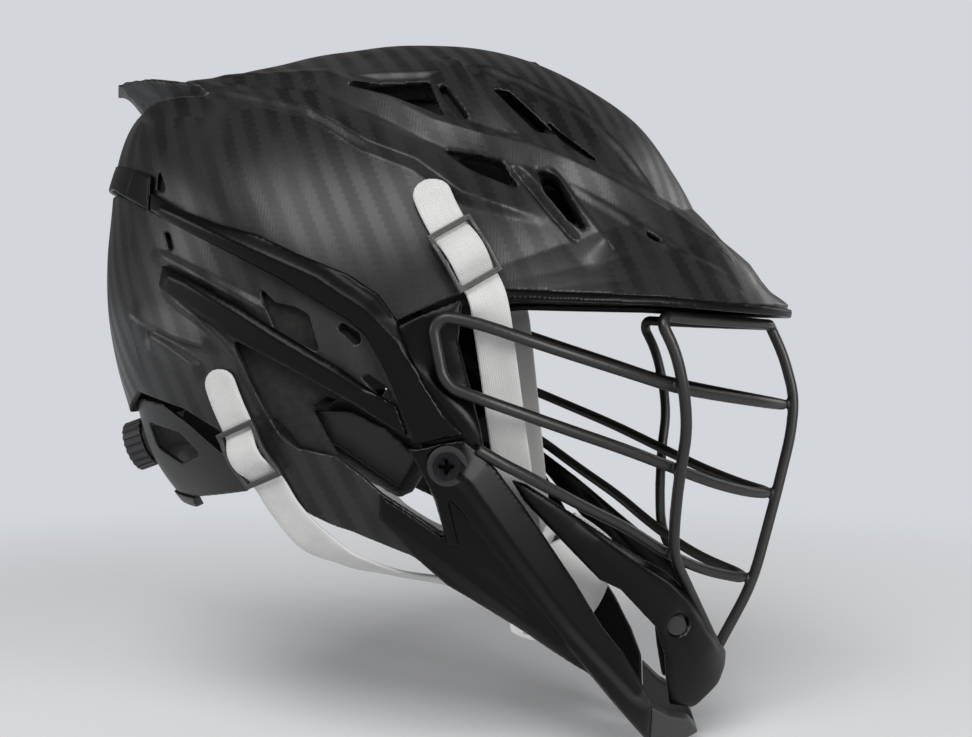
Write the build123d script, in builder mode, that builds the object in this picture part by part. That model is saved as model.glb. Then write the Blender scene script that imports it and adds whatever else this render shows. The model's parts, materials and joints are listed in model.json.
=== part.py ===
"""Lacrosse helmet: shell, side frame, wire mask, liner, fit cradle and chin strap.

Millimetres. +Z is up, the face looks along -Y, the wearer's left is +X.
The origin is the underside of the crown pad, where the helmet rests on the head.
"""
from build123d import *
import math
import os

os.makedirs("parts", exist_ok=True)

# Driving sizes of the whole helmet
HELMET_LENGTH = 320.0
HELMET_HEIGHT = 320.0
HALF_WIDTH = 106.0

# Walls and how far each skin stands off the shell's outer face
SHELL_WALL = 3.2
CLEARANCE = 0.3
RAIL_PROUD = 3.8
JAW_BAR_PROUD = 4.3
JAW_WEB_PROUD = 2.3
BRIDGE_PROUD = 3.0
TRIM_PROUD = 0.5
TRIM_WALL = 2.5
CHIN_SET_BACK = 5.2
CHIN_WALL = 3.8
BUMPER_WALL = 10.0
RIB_PROUD = 2.4
RIB_ROOT = 1.6
OVERRUN = 40.0

# Wire mask
WIRE = 5.0

# Head and padding
HEAD_HALF_BREADTH = 76.0
HEAD_HALF_LENGTH = 98.0
HEAD_HALF_HEIGHT = 105.0
HEAD_SET_BACK = 15.0
PAD_SPACE = 9.0
PAD_FACE = 1.2
PAD_CORNER = 9.0
PAD_CHANNEL = 2.0

# Screws
SCREW_HEAD = 11.0
SCREW_HEAD_HEIGHT = 3.0
SCREW_SHANK = 5.0
SCREW_FIT = 0.3
WASHER = 16.0
WASHER_HEIGHT = 1.6
NUT_FLANGE = 14.0
NUT_HEIGHT = 2.4
DRIVE_WIDTH = 1.4
DRIVE_LENGTH = 6.0
DRIVE_DEPTH = 1.5
PLUG = 8.4
PLUG_LENGTH = 7.0
PLUG_PROUD = 0.8
PLUG_FIT = 0.15

# Fit cradle and dial
CRADLE_SET_BACK = SHELL_WALL + CLEARANCE
CRADLE_WALL = 3.4
NAPE_PAD_THICK = 6.0
DIAL = 24.0
DIAL_HEIGHT = 9.0
DIAL_RIB = 1.6
DIAL_RIB_COUNT = 20
DIAL_BASE = 20.0
DIAL_BASE_HEIGHT = 3.0
DIAL_TILT = 20.0
DIAL_PIN = 5.0
DIAL_CHAMFER = 0.6

# Webbing, ladder buckles and chin cup
STRAP_WIDTH = 16.0
STRAP_THICK = 1.6
BUCKLE_WIDTH = 21.0
BUCKLE_LENGTH = 24.0
BUCKLE_THICK = 2.4
BUCKLE_BAR = 2.6
BUCKLE_CORNER = 1.2
CUP_HALF_BREADTH = 38.0
CUP_HALF_LENGTH = 34.0
CUP_HALF_HEIGHT = 44.0
CUP_WALL = 3.5
CHIN_PAD_THICK = 4.5

# Outlines are drawn on the side view's grid, 320 steps long and 320 steps high,
# and half widths on a grid of 106 steps
GRID_STEPS = 320
WIDTH_STEPS = 106

# How finely the form is searched, and how much of a run its bend may take
HALVINGS = 40
NORMAL_STEP = 0.4
BEND_SHARE = 0.45


def along(y_share):
    """A place from front to back, from its grid share."""
    return y_share * HELMET_LENGTH / GRID_STEPS


def up(z_share):
    """A height, from its grid share."""
    return z_share * HELMET_HEIGHT / GRID_STEPS


def across(x_share):
    """A place from side to side, from its grid share."""
    return x_share * HALF_WIDTH / WIDTH_STEPS


def place(x_share, y_share, z_share):
    """A point in space, from grid shares."""
    return (across(x_share), along(y_share), up(z_share))


# The form that every outer piece follows. Each ray leaves the pivot in the side view:
# its angle from the rear, its reach and how full the form is from side to side.
PIVOT_SHARES = (20, -95)
RAY_SHARES = (
    (-150, 150, 1.7), (-138, 197, 1.6), (-134, 226, 1.58), (-126, 239, 1.55), (-120, 232, 1.6),
    (-112, 196, 1.7), (-102, 165, 1.85), (-90, 149, 1.95), (-60, 138, 2.0), (-40, 134.5, 2.0),
    (-30, 134.5, 2.0), (-18, 131.5, 2.0), (-6, 133, 2.0), (8, 136.5, 2.0), (20, 141, 2.0),
    (30, 149.5, 2.0), (38, 154, 2.0), (46, 148, 1.98), (54, 138.5, 1.95), (66, 129.5, 1.9),
    (82, 126, 1.85), (98, 128, 1.85), (116, 134, 1.88), (130, 138.5, 1.9), (142, 144, 1.9),
    (152, 145, 1.88), (160, 147, 1.85), (167, 156, 1.83), (172, 167.5, 1.8), (178, 182, 1.8),
    (186, 172, 1.75), (196, 158, 1.7),
)
SLICE_SHARES = (0.0, 0.22, 0.42, 0.6, 0.75, 0.86, 0.935, 0.975, 0.998)


def ray_at(angle):
    """Reach share and fullness of the form along one angle."""
    if angle < RAY_SHARES[0][0]:
        angle += 360
    for (a0, r0, n0), (a1, r1, n1) in zip(RAY_SHARES, RAY_SHARES[1:]):
        if a0 <= angle <= a1:
            part_way = (angle - a0) / (a1 - a0)
            return r0 + part_way * (r1 - r0), n0 + part_way * (n1 - n0)
    return RAY_SHARES[-1][1], RAY_SHARES[-1][2]


def form_slice(slice_share, stand_off):
    """Points of the form's section at one share of its half width."""
    points = []
    for angle, reach_share, fullness in RAY_SHARES:
        shrink = (1 - abs(slice_share) ** fullness) ** (1 / fullness)
        turn = math.radians(angle)
        y = along(PIVOT_SHARES[0]) + (along(reach_share) + stand_off) * shrink * math.cos(turn)
        z = up(PIVOT_SHARES[1]) + (up(reach_share) + stand_off) * shrink * math.sin(turn)
        points.append((y, z))
    return points


def form_level(x, y, z, stand_off=0.0):
    """Below 1 inside the form, 1 on it and above 1 outside."""
    dy = y - along(PIVOT_SHARES[0])
    dz = z - up(PIVOT_SHARES[1])
    reach_share, fullness = ray_at(math.degrees(math.atan2(dz, dy)))
    reach = along(reach_share) + stand_off
    return (abs(x) / (HALF_WIDTH + stand_off)) ** fullness + (math.hypot(dy, dz) / reach) ** fullness


def form_half_width(y, z, stand_off=0.0):
    """Half width of the form at a point of the side view."""
    low = 0.0
    high = HALF_WIDTH + stand_off
    for _ in range(HALVINGS):
        middle = (low + high) / 2
        if form_level(middle, y, z, stand_off) < 1:
            low = middle
        else:
            high = middle
    return low


def form_normal(y, z, stand_off=0.0):
    """Outward direction of the form on its left side."""
    x = form_half_width(y, z, stand_off)
    step = NORMAL_STEP
    level = form_level(x, y, z, stand_off)
    slope = (
        form_level(x + step, y, z, stand_off) - level,
        form_level(x, y + step, z, stand_off) - level,
        form_level(x, y, z + step, stand_off) - level,
    )
    return Vector(*slope).normalized()


FORMS = {}


def side_form(stand_off=0.0):
    """The helmet's smooth outer form, grown or shrunk by a stand-off."""
    if stand_off not in FORMS:
        slices = sorted({share for share in SLICE_SHARES} | {-share for share in SLICE_SHARES})
        with BuildPart() as form:
            for share in slices:
                with BuildSketch(Plane.YZ.offset(share * (HALF_WIDTH + stand_off))):
                    with BuildLine():
                        Spline(*form_slice(share, stand_off), periodic=True)
                    make_face()
            loft()
        FORMS[stand_off] = form.part
    return FORMS[stand_off]


def slab(outline_shares, one_side=False):
    """A side-view outline, extruded through the left half or through both halves."""
    with BuildPart() as block:
        with BuildSketch(Plane.YZ):
            with BuildLine():
                Polyline(*[(along(y), up(z)) for y, z in outline_shares], close=True)
            make_face()
        extrude(amount=HALF_WIDTH + OVERRUN, both=not one_side)
    return block.part


def skin(outline_shares, outer, inner, one_side=False):
    """The part of a skin between two stand-offs that lies inside an outline."""
    with BuildPart() as sheet:
        add(slab(outline_shares, one_side))
        add(side_form(outer), mode=Mode.INTERSECT)
        add(side_form(inner), mode=Mode.SUBTRACT)
    return sheet.part


def bend_radii(points):
    """The largest tangent arc that each corner's two runs leave room for."""
    radii = []
    for before, corner, after in zip(points, points[1:], points[2:]):
        first = Vector(*corner) - Vector(*before)
        second = Vector(*after) - Vector(*corner)
        half_turn = math.radians(first.get_angle(second) / 2)
        radii.append(BEND_SHARE * min(first.length, second.length) / math.tan(half_turn))
    return radii


def bent_wire(points):
    """A round wire along straight runs joined by tangent arcs."""
    with BuildPart() as rod:
        with BuildLine() as route:
            FilletPolyline(*points, radius=bend_radii(points))
        with BuildSketch(Plane(origin=route.line @ 0, z_dir=route.line % 0)):
            Circle(WIRE / 2)
        sweep()
    return rod.part


def whole_route(half_shares):
    """A symmetric wire's points, from the end of one half through the middle to the other."""
    left = [place(*point) for point in half_shares]
    right = [(-x, y, z) for x, y, z in left[1:]]
    return right[::-1] + left


def webbing(stations):
    """Flat webbing through (centre, face normal) stations."""
    centres = [Vector(*centre) for centre, _ in stations]
    with BuildPart() as strip:
        for index, (centre, normal) in enumerate(stations):
            before = centres[max(index - 1, 0)]
            after = centres[min(index + 1, len(centres) - 1)]
            travel = (after - before).normalized()
            cross = travel.cross(Vector(*normal))
            with BuildSketch(Plane(origin=centre, x_dir=cross, z_dir=travel)):
                Rectangle(STRAP_WIDTH, STRAP_THICK)
        loft(ruled=True)
    return strip.part


def rib_strip(stations_shares, half_width, proud):
    """A low rib on the form through (y, z) stations, with a sharp crest."""
    stations = [Vector(form_half_width(along(y), up(z)), along(y), up(z)) for y, z in stations_shares]
    normals = [form_normal(along(y), up(z)) for y, z in stations_shares]
    with BuildPart() as strip:
        for index, (foot, normal) in enumerate(zip(stations, normals)):
            before = stations[max(index - 1, 0)]
            after = stations[min(index + 1, len(stations) - 1)]
            travel = (after - before).normalized()
            cross = travel.cross(normal)
            ends = index in (0, len(stations) - 1)
            crest = 0.0 if ends else proud
            with BuildSketch(Plane(origin=foot, x_dir=cross, z_dir=travel)):
                with BuildLine():
                    Polyline((-half_width, -RIB_ROOT), (half_width, -RIB_ROOT), (0, crest), close=True)
                make_face()
        loft(ruled=True)
    return strip.part


def other_side(left_part):
    """The right-hand copy of a left-hand piece."""
    with BuildPart() as right:
        mirror(left_part, about=Plane.YZ)
    return right.part


def write_pair(left_part, name):
    """Write a left piece and its mirror image."""
    left_part.label = f"{name}_left"
    export_step(left_part, f"parts/{name}_left.step")
    right_part = other_side(left_part)
    right_part.label = f"{name}_right"
    export_step(right_part, f"parts/{name}_right.step")


# Upper shell: crown, visor and tail fin, with its vents
UPPER_EDGE_SHARES = (
    (-175, -93), (-161, -91), (-126, -89), (-99, -87), (-66, -86), (-35, -85), (-20, -86), (-10, -90),
    (6, -97), (14, -97), (22, -90), (36, -82), (62, -69), (93, -57), (110, -49.5), (126, -42),
    (138, -38), (150, -33), (175, -30),
)
UPPER_TOP_SHARES = ((175, 60), (-175, 60))
UPPER_VENT_SHARES = (
    ((35, 1), (-2, 4), (-11, -15.5), (0, -11)),
    ((-5, 2), (-9, 1), (-21, -16), (-17, -15)),
    ((-27, 2), (-36, 0), (-56, -20), (-47, -19)),
    ((-41, -1), (-47, -8), (-57, -18), (-76, -32), (-67, -29), (-57, -22)),
    ((-9, -28), (-26, -31), (-34, -33), (-42, -45), (-22, -37)),
    ((-48, -35), (-56, -40), (-68, -62), (-60, -57), (-50, -45)),
    ((-84, -55), (-95, -60.5), (-108, -68), (-95, -63)),
    ((111, -31), (105, -44), (111, -42)),
)
SIDE_RIDGE_SHARES = (
    (101, 9), (76, 8), (43, 6), (17, -4), (-6, -17), (-25, -23), (-45, -27), (-60, -32), (-74, -38),
    (-91, -46), (-104, -52), (-125, -64), (-140, -76),
)
LOW_CREASE_SHARES = ((95, 5), (78, -1), (46, -10), (20, -26), (0, -36), (-19, -48), (-42, -55))
RIDGE_HALF_WIDTH = 5.0
CREASE_HALF_WIDTH = 4.0
CREASE_PROUD = 1.6
FIN_SECTION_SHARES = (
    (0, (156, 15), (110, 12), (136, -4)),
    (20, (148, 14.5), (106, 10), (130, -5)),
    (38, (128, 12), (96, 6), (113, -4)),
    (52, (104, 6), (84, 2), (93, -2)),
)
SPINE_SHARES = (
    (84, 18.5), (62, 27), (35, 31), (0, 33), (-24, 31), (-46, 25), (-74, 9.5), (-93, -4), (-107, -29),
)
SPINE_HALF_WIDTH = 15.0
SPINE_TOP_HALF_WIDTH = 9.0
SPINE_DEPTH = 5.0


def tail_fin():
    """The lip that sweeps back from the crown, as wedges from side to side."""
    sections = [(-x, *rest) for x, *rest in FIN_SECTION_SHARES[:0:-1]] + list(FIN_SECTION_SHARES)
    with BuildPart() as blade:
        for x_share, lip, root_top, root_low in sections:
            with BuildSketch(Plane.YZ.offset(across(x_share))):
                with BuildLine():
                    Polyline(*[(along(y), up(z)) for y, z in (lip, root_top, root_low)], close=True)
                make_face()
        loft(ruled=True)
    return blade.part


def spine():
    """The raised band along the middle of the crown."""
    with BuildPart() as band:
        for y_share, z_share in SPINE_SHARES:
            with BuildSketch(Plane(origin=(0, along(y_share), up(z_share)), x_dir=(1, 0, 0), z_dir=(0, -1, 0))):
                with BuildLine():
                    Polyline(
                        (-SPINE_HALF_WIDTH, -SPINE_DEPTH), (SPINE_HALF_WIDTH, -SPINE_DEPTH),
                        (SPINE_TOP_HALF_WIDTH, 0), (-SPINE_TOP_HALF_WIDTH, 0), close=True,
                    )
                make_face()
        loft(ruled=True)
    return band.part


with BuildPart() as upper_shell:
    add(side_form())
    side_ridge = rib_strip(SIDE_RIDGE_SHARES, RIDGE_HALF_WIDTH, RIB_PROUD)
    low_crease = rib_strip(LOW_CREASE_SHARES, CREASE_HALF_WIDTH, CREASE_PROUD)
    for rib in (side_ridge, low_crease):
        add(rib)
        mirror(rib, about=Plane.YZ)
    add(spine())
    add(tail_fin())
    add(side_form(-SHELL_WALL), mode=Mode.SUBTRACT)
    add(slab(UPPER_EDGE_SHARES + UPPER_TOP_SHARES), mode=Mode.INTERSECT)
    for vent in UPPER_VENT_SHARES:
        add(slab(vent), mode=Mode.SUBTRACT)
upper_shell.part.label = "upper_shell"
export_step(upper_shell.part, "parts/upper_shell.step")


# Rear shell: back and side panel, with the side windows and the jaw opening
REAR_OUTLINE_SHARES = (
    (175, -40), (150, -40), (138, -40.5), (126, -44.5), (110, -52), (93, -59.5), (62, -71.5),
    (36, -84.5), (23, -92.5), (15.5, -102.5), (6.2, -118.6), (1, -133), (-2, -150), (-12, -166),
    (-24, -174), (-36, -189), (-48, -206), (-53, -216), (-44, -220), (-25, -212), (-9, -203),
    (3, -193), (24, -184), (47, -174), (56, -170), (69, -158), (78, -143), (98, -133),
    (124, -127), (140, -138), (175, -138),
)
SIDE_WINDOW_SHARES = (
    ((62, -82), (54, -90), (45, -92), (40, -95), (36, -110), (54, -101)),
    ((29, -100), (27, -97.5), (20, -102), (19, -106), (22, -106.5)),
    ((20, -119), (17, -118), (9, -124), (8, -128), (11, -128.5)),
    ((106, -60), (103, -60), (100, -68), (103, -68)),
)
JAW_OPENING_SHARES = (
    (73, -104), (65, -121), (54, -142), (47, -148), (31, -151), (21, -159), (14, -166), (1, -175),
    (-12, -184), (-10, -169), (-5, -156), (-1, -145), (24, -129), (48, -116),
)

with BuildPart() as rear_shell:
    add(skin(REAR_OUTLINE_SHARES, 0.0, -SHELL_WALL))
    for window in SIDE_WINDOW_SHARES + (JAW_OPENING_SHARES,):
        add(slab(window), mode=Mode.SUBTRACT)
rear_shell.part.label = "rear_shell"
export_step(rear_shell.part, "parts/rear_shell.step")

# Cheek plates, ahead of the rails
CHEEK_OUTLINE_SHARES = (
    (-20, -88), (-18, -105), (-22, -122), (-26, -138), (-29, -154), (-34, -164), (-26, -172),
    (-13, -164), (-3.6, -149.5), (-0.6, -133), (4.6, -118), (14, -101.6), (13, -99), (5, -98.8), (-10, -92),
)

SCREW_SHARES = (-14, -154)
screw_y = along(SCREW_SHARES[0])
screw_z = up(SCREW_SHARES[1])
nut_x = form_half_width(screw_y, screw_z, -SHELL_WALL)
screw_x = form_half_width(screw_y, screw_z, JAW_BAR_PROUD)
FROM_BELOW = (Align.CENTER, Align.CENTER, Align.MIN)
FROM_ABOVE = (Align.CENTER, Align.CENTER, Align.MAX)


def screw_line(start_x):
    """A frame on the left screw's line with its Z axis pointing out from one place on it."""
    return Location((start_x, screw_y, screw_z), (0, 90, 0))


with BuildPart() as cheek_plate:
    add(skin(CHEEK_OUTLINE_SHARES, 0.0, -SHELL_WALL, one_side=True))
    with Locations(screw_line(0)):
        Cylinder(SCREW_SHANK / 2 + SCREW_FIT, HALF_WIDTH, align=FROM_BELOW, mode=Mode.SUBTRACT)
        Cylinder(NUT_FLANGE / 2 + SCREW_FIT, nut_x, align=FROM_BELOW, mode=Mode.SUBTRACT)
write_pair(cheek_plate.part, "cheek_plate")

# Trim under the brim, and the lip band across the back
BRIM_TRIM_SHARES = (
    (-22, -86.4), (-35, -85.4), (-66, -86.4), (-99, -87.4), (-126, -89.4), (-161, -91.4), (-175, -93.4),
    (-175, -96), (-161, -94), (-126, -92), (-99, -90), (-66, -89), (-35, -88), (-22, -89),
)
BRIDGE_SHARES = (
    (113, -36), (126, -31), (140, -27), (154, -25), (164, -25), (164, -36), (152, -37), (140, -38.5),
    (126, -45), (113, -51),
)

with BuildPart() as brim_trim:
    add(skin(BRIM_TRIM_SHARES, TRIM_PROUD, TRIM_PROUD - TRIM_WALL))
brim_trim.part.label = "brim_trim"
export_step(brim_trim.part, "parts/brim_trim.step")

with BuildPart() as rear_bridge:
    add(skin(BRIDGE_SHARES, BRIDGE_PROUD, CLEARANCE))
rear_bridge.part.label = "rear_bridge"
export_step(rear_bridge.part, "parts/rear_bridge.step")

# Side rails: the upper one turns down as the pillar, the lower one meets it above the screw
UPPER_RAIL_SHARES = (
    (112, -43.5), (98, -51), (79, -58), (61, -63), (44, -71), (24, -79), (12, -87), (5, -97), (1, -108),
    (-4.5, -120), (-13, -133), (-20.5, -142), (-1, -145.8), (1, -138), (5, -128), (10, -116), (17, -103),
    (24, -97), (34, -91), (51, -81), (69, -72), (90, -62), (112, -51),
)
LOWER_RAIL_SHARES = (
    (105, -74), (92, -79), (69, -91), (54, -100), (28, -115), (14, -125), (5.5, -130.5), (1.5, -143),
    (24, -128), (48, -115), (75, -102), (107, -83),
)
with BuildPart() as upper_rail:
    add(skin(UPPER_RAIL_SHARES, RAIL_PROUD, CLEARANCE, one_side=True))
write_pair(upper_rail.part, "upper_rail")

with BuildPart() as lower_rail:
    add(skin(LOWER_RAIL_SHARES, RAIL_PROUD, CLEARANCE, one_side=True))
write_pair(lower_rail.part, "lower_rail")

# Jaw guards: main bar, thinner web and lower strip, and the brace rib
JAW_BAR_SHARES = (
    (-2, -147.2), (-20, -143.6), (-26, -148), (-33, -156), (-42, -169), (-51, -183), (-64, -204), (-75, -224),
    (-84, -237), (-92, -251), (-97, -263), (-97, -286), (-75, -253), (-60, -231), (-51, -218),
    (-38, -199), (-18, -172), (-5, -156),
)
JAW_WEB_SHARES = (
    (14, -166.5), (1, -175.5), (-12, -185.5), (-8, -169), (-3, -155), (-12, -158), (-38, -197),
    (-60, -228), (-75, -250), (-97, -283), (-97, -286.5), (-70, -247), (-42, -226), (-11, -206),
    (2, -193), (15, -177),
)
JAW_RIB_SHARES = ((2, -147), (-6, -147.5), (-8, -155), (-14, -170), (-17, -187), (-12.5, -187), (-9, -169), (-2.5, -155))

with BuildPart() as jaw_guard:
    add(skin(JAW_BAR_SHARES, JAW_BAR_PROUD, CLEARANCE, one_side=True))
    add(skin(JAW_WEB_SHARES, JAW_WEB_PROUD, CLEARANCE, one_side=True))
    add(skin(JAW_RIB_SHARES, JAW_BAR_PROUD, CLEARANCE, one_side=True))
    with Locations(screw_line(0)):
        Cylinder(SCREW_SHANK / 2 + SCREW_FIT, HALF_WIDTH + OVERRUN, align=FROM_BELOW, mode=Mode.SUBTRACT)
    with Locations(screw_line(screw_x)):
        Cylinder(WASHER / 2 + SCREW_FIT, OVERRUN, align=FROM_BELOW, mode=Mode.SUBTRACT)
write_pair(jaw_guard.part, "jaw_guard")

# Chin piece between the jaw bars, its plugs and the bumper at the bottom
CHIN_PIECE_SHARES = (
    (-38, -161), (-44, -163), (-64, -177), (-85, -193), (-103, -206), (-112, -216), (-121, -231),
    (-134, -251), (-129, -262), (-117, -272), (-106, -268), (-104, -255), (-103, -243), (-99, -229),
    (-83, -210), (-74, -205), (-43, -170),
)
BUMPER_SHARES = (
    (-97.3, -265), (-105, -271), (-115, -275), (-120, -283), (-106, -290), (-97.3, -289),
)
PLUG_SHARES = (-108, -229)

plug_x = form_half_width(along(PLUG_SHARES[0]), up(PLUG_SHARES[1]), -CHIN_SET_BACK)
plug_spots = [
    Location((side_of * (plug_x + PLUG_PROUD), along(PLUG_SHARES[0]), up(PLUG_SHARES[1])), (0, side_of * 90, 0))
    for side_of in (1, -1)
]

with BuildPart() as chin_piece:
    add(skin(CHIN_PIECE_SHARES, -CHIN_SET_BACK, -CHIN_SET_BACK - CHIN_WALL))
    with Locations(*plug_spots):
        Cylinder(PLUG / 2 + PLUG_FIT, PLUG_LENGTH * 2, mode=Mode.SUBTRACT)
chin_piece.part.label = "chin_piece"
export_step(chin_piece.part, "parts/chin_piece.step")

with BuildPart() as chin_plugs:
    with Locations(*plug_spots):
        Cylinder(PLUG / 2, PLUG_LENGTH, align=FROM_ABOVE)
chin_plugs.part.label = "chin_plugs"
export_step(chin_plugs.part, "parts/chin_plugs.step")

with BuildPart() as chin_bumper:
    add(skin(BUMPER_SHARES, JAW_BAR_PROUD, JAW_BAR_PROUD - BUMPER_WALL))
chin_bumper.part.label = "chin_bumper"
export_step(chin_bumper.part, "parts/chin_bumper.step")

# Side screws with their washers, and the flanged nuts behind the cheek plates
with BuildPart() as left_washer:
    with Locations(screw_line(screw_x)):
        Cylinder(WASHER / 2, WASHER_HEIGHT, align=FROM_BELOW)
        Cylinder(SCREW_SHANK / 2 + SCREW_FIT, WASHER_HEIGHT, align=FROM_BELOW, mode=Mode.SUBTRACT)

with BuildPart() as left_screw:
    with Locations(screw_line(screw_x + WASHER_HEIGHT)):
        Cylinder(SCREW_HEAD / 2, SCREW_HEAD_HEIGHT, align=FROM_BELOW)
        Cylinder(SCREW_SHANK / 2, screw_x + WASHER_HEIGHT - nut_x, align=FROM_ABOVE)
    with Locations(screw_line(screw_x + WASHER_HEIGHT + SCREW_HEAD_HEIGHT)):
        Box(DRIVE_LENGTH, DRIVE_WIDTH, DRIVE_DEPTH, align=FROM_ABOVE, mode=Mode.SUBTRACT)
        Box(DRIVE_WIDTH, DRIVE_LENGTH, DRIVE_DEPTH, align=FROM_ABOVE, mode=Mode.SUBTRACT)

with BuildPart() as left_nut:
    with Locations(screw_line(nut_x)):
        Cylinder(NUT_FLANGE / 2, NUT_HEIGHT, align=FROM_ABOVE)

for left_piece, name in ((left_washer, "side_washers"), (left_screw, "side_screws"), (left_nut, "t_nuts")):
    with BuildPart() as both:
        add(left_piece.part)
        mirror(left_piece.part, about=Plane.YZ)
    both.part.label = name
    export_step(both.part, f"parts/{name}.step")

# Wire mask. Halves run from the chin or the middle out, and x is the left side.
FRAME_WIRE_SHARES = (
    (0, -158, -98), (28, -138, -97), (48, -118, -96), (71.5, -97.5, -94.5), (69.5, -105, -109),
    (66.5, -109, -126), (62, -110.5, -143), (58.5, -108, -160), (50, -106.5, -180), (41.5, -106.5, -199),
    (26, -116, -219), (9, -128.5, -246),
)
LOOP_TOP_SHARES = (
    (0, -162.2, -135), (21, -150, -133), (42, -127, -129), (63.1, -105.3, -124.6), (81, -86, -118),
    (94, -63, -110.5), (102, -42, -103.5), (105.5, -26, -98),
)
LOOP_SIDE_SHARES = ((106.6, -8, -94.5), (104.2, -13, -122.5))
LOOP_LOW_SHARES = (
    (103, -27, -127.5), (96.5, -44, -134), (86.5, -62, -141), (72, -84, -149.5), (55, -104.6, -158.6),
    (35, -126, -168), (18, -142.6, -173.5), (0, -155.4, -176),
)
THIRD_BAR_SHARES = (
    (0, -148.6, -217), (20, -122.5, -209), (38.3, -103.4, -198), (55, -85, -184), (70, -68, -174),
    (88, -47, -160.5), (95.6, -35, -153.5), (99.6, -25.5, -147.5),
)
CENTRE_WIRE_SHARES = (
    (-153.4, -97.5), (-160, -112), (-165, -131), (-163.6, -148), (-157.8, -173), (-153, -192),
    (-146.2, -218), (-130, -249),
)

with BuildPart() as frame_wire:
    add(bent_wire(whole_route(FRAME_WIRE_SHARES)))
frame_wire.part.label = "frame_wire"
export_step(frame_wire.part, "parts/frame_wire.step")

with BuildPart() as third_bar:
    add(bent_wire(whole_route(THIRD_BAR_SHARES)))
third_bar.part.label = "third_bar"
export_step(third_bar.part, "parts/third_bar.step")

with BuildPart() as centre_wire:
    add(bent_wire([place(0, y, z) for y, z in CENTRE_WIRE_SHARES]))
centre_wire.part.label = "centre_wire"
export_step(centre_wire.part, "parts/centre_wire.step")


def half_loop():
    """The left half of the loop of the first two bars, cut square at the middle plane."""
    route = [place(*point) for point in LOOP_TOP_SHARES + LOOP_SIDE_SHARES + LOOP_LOW_SHARES]
    first = route[1]
    last = route[-2]
    ends = [(-first[0], first[1], first[2])] + route + [(-last[0], last[1], last[2])]
    with BuildPart() as half:
        add(bent_wire(ends))
        split(bisect_by=Plane.YZ, keep=Keep.TOP)
    return half.part


with BuildPart() as loop_wire:
    left_loop = half_loop()
    add(left_loop)
    mirror(left_loop, about=Plane.YZ)
loop_wire.part.label = "loop_wire"
export_step(loop_wire.part, "parts/loop_wire.step")


def head_form(grow=0.0):
    """A head-sized egg, with its top at the origin's height."""
    unit = Sphere(1, mode=Mode.PRIVATE)
    sizes = (HEAD_HALF_BREADTH + grow, HEAD_HALF_LENGTH + grow, HEAD_HALF_HEIGHT + grow)
    return Pos(0, HEAD_SET_BACK, -HEAD_HALF_HEIGHT) * scale(unit, by=sizes, mode=Mode.PRIVATE)


# Foam liners: they fill the shells and leave room for the head and its pads
LINER_SET_BACK = SHELL_WALL + 2 * CLEARANCE
UPPER_LINER_SHARES = (
    (-100, -83), (-104, -62), (-94, -30), (-74, -4), (-48, 18), (-20, 40), (60, 40), (110, 30),
    (150, 10), (150, -29.5), (138, -34), (126, -38), (110, -45), (93, -53), (62, -65), (36, -78),
    (22, -85.5), (0, -86), (-35, -82),
)
LINER_SPLIT = 22.0
REAR_LINER_SHARES = (
    (34, -92), (62, -76), (93, -64.5), (126, -49), (150, -44.5), (156, -90), (150, -116), (124, -119),
    (98, -124), (74, -134), (60, -138), (40, -130), (26, -118), (20, -106),
)

with BuildPart() as foam_liner:
    add(slab(UPPER_LINER_SHARES))
    add(side_form(-LINER_SET_BACK), mode=Mode.INTERSECT)
    add(head_form(PAD_SPACE), mode=Mode.SUBTRACT)
    for vent in UPPER_VENT_SHARES[:6]:
        add(slab(vent), mode=Mode.SUBTRACT)

# The upper liner is moulded as a front and a back block that meet across the crown
FRONT_FACE = Plane(origin=(0, LINER_SPLIT - CLEARANCE / 2, 0), z_dir=(0, -1, 0))
BACK_FACE = Plane(origin=(0, LINER_SPLIT + CLEARANCE / 2, 0), z_dir=(0, 1, 0))

with BuildPart() as front_liner:
    add(foam_liner.part)
    split(bisect_by=FRONT_FACE, keep=Keep.TOP)
front_liner.part.label = "front_liner"
export_step(front_liner.part, "parts/front_liner.step")

with BuildPart() as crown_liner:
    add(foam_liner.part)
    split(bisect_by=BACK_FACE, keep=Keep.TOP)
crown_liner.part.label = "crown_liner"
export_step(crown_liner.part, "parts/crown_liner.step")

with BuildPart() as rear_liner:
    add(slab(REAR_LINER_SHARES))
    add(side_form(-LINER_SET_BACK), mode=Mode.INTERSECT)
    add(head_form(PAD_SPACE), mode=Mode.SUBTRACT)
rear_liner.part.label = "rear_liner"
export_step(rear_liner.part, "parts/rear_liner.step")

# Pads. Each is a pillow with a crowned face, drawn-in sides and a sewn channel.
PAD_SECTION_SHARES = ((0, 0.8), (0.1, 0.91), (0.3, 1), (0.7, 0.97), (2, 0.97))


def pillow(face, length, height, depth):
    """A cushion whose crowned face lies on a plane and whose body grows along its normal."""
    with BuildPart() as cushion:
        for rise_share, size_share in PAD_SECTION_SHARES:
            with BuildSketch(face.offset(rise_share * depth)):
                RectangleRounded(length * size_share, height * size_share, PAD_CORNER * size_share)
        loft()
        with BuildSketch(Plane(origin=face.origin, x_dir=face.z_dir, z_dir=face.x_dir)):
            Circle(PAD_CHANNEL)
        extrude(amount=length, both=True, mode=Mode.SUBTRACT)
    return cushion.part


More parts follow.
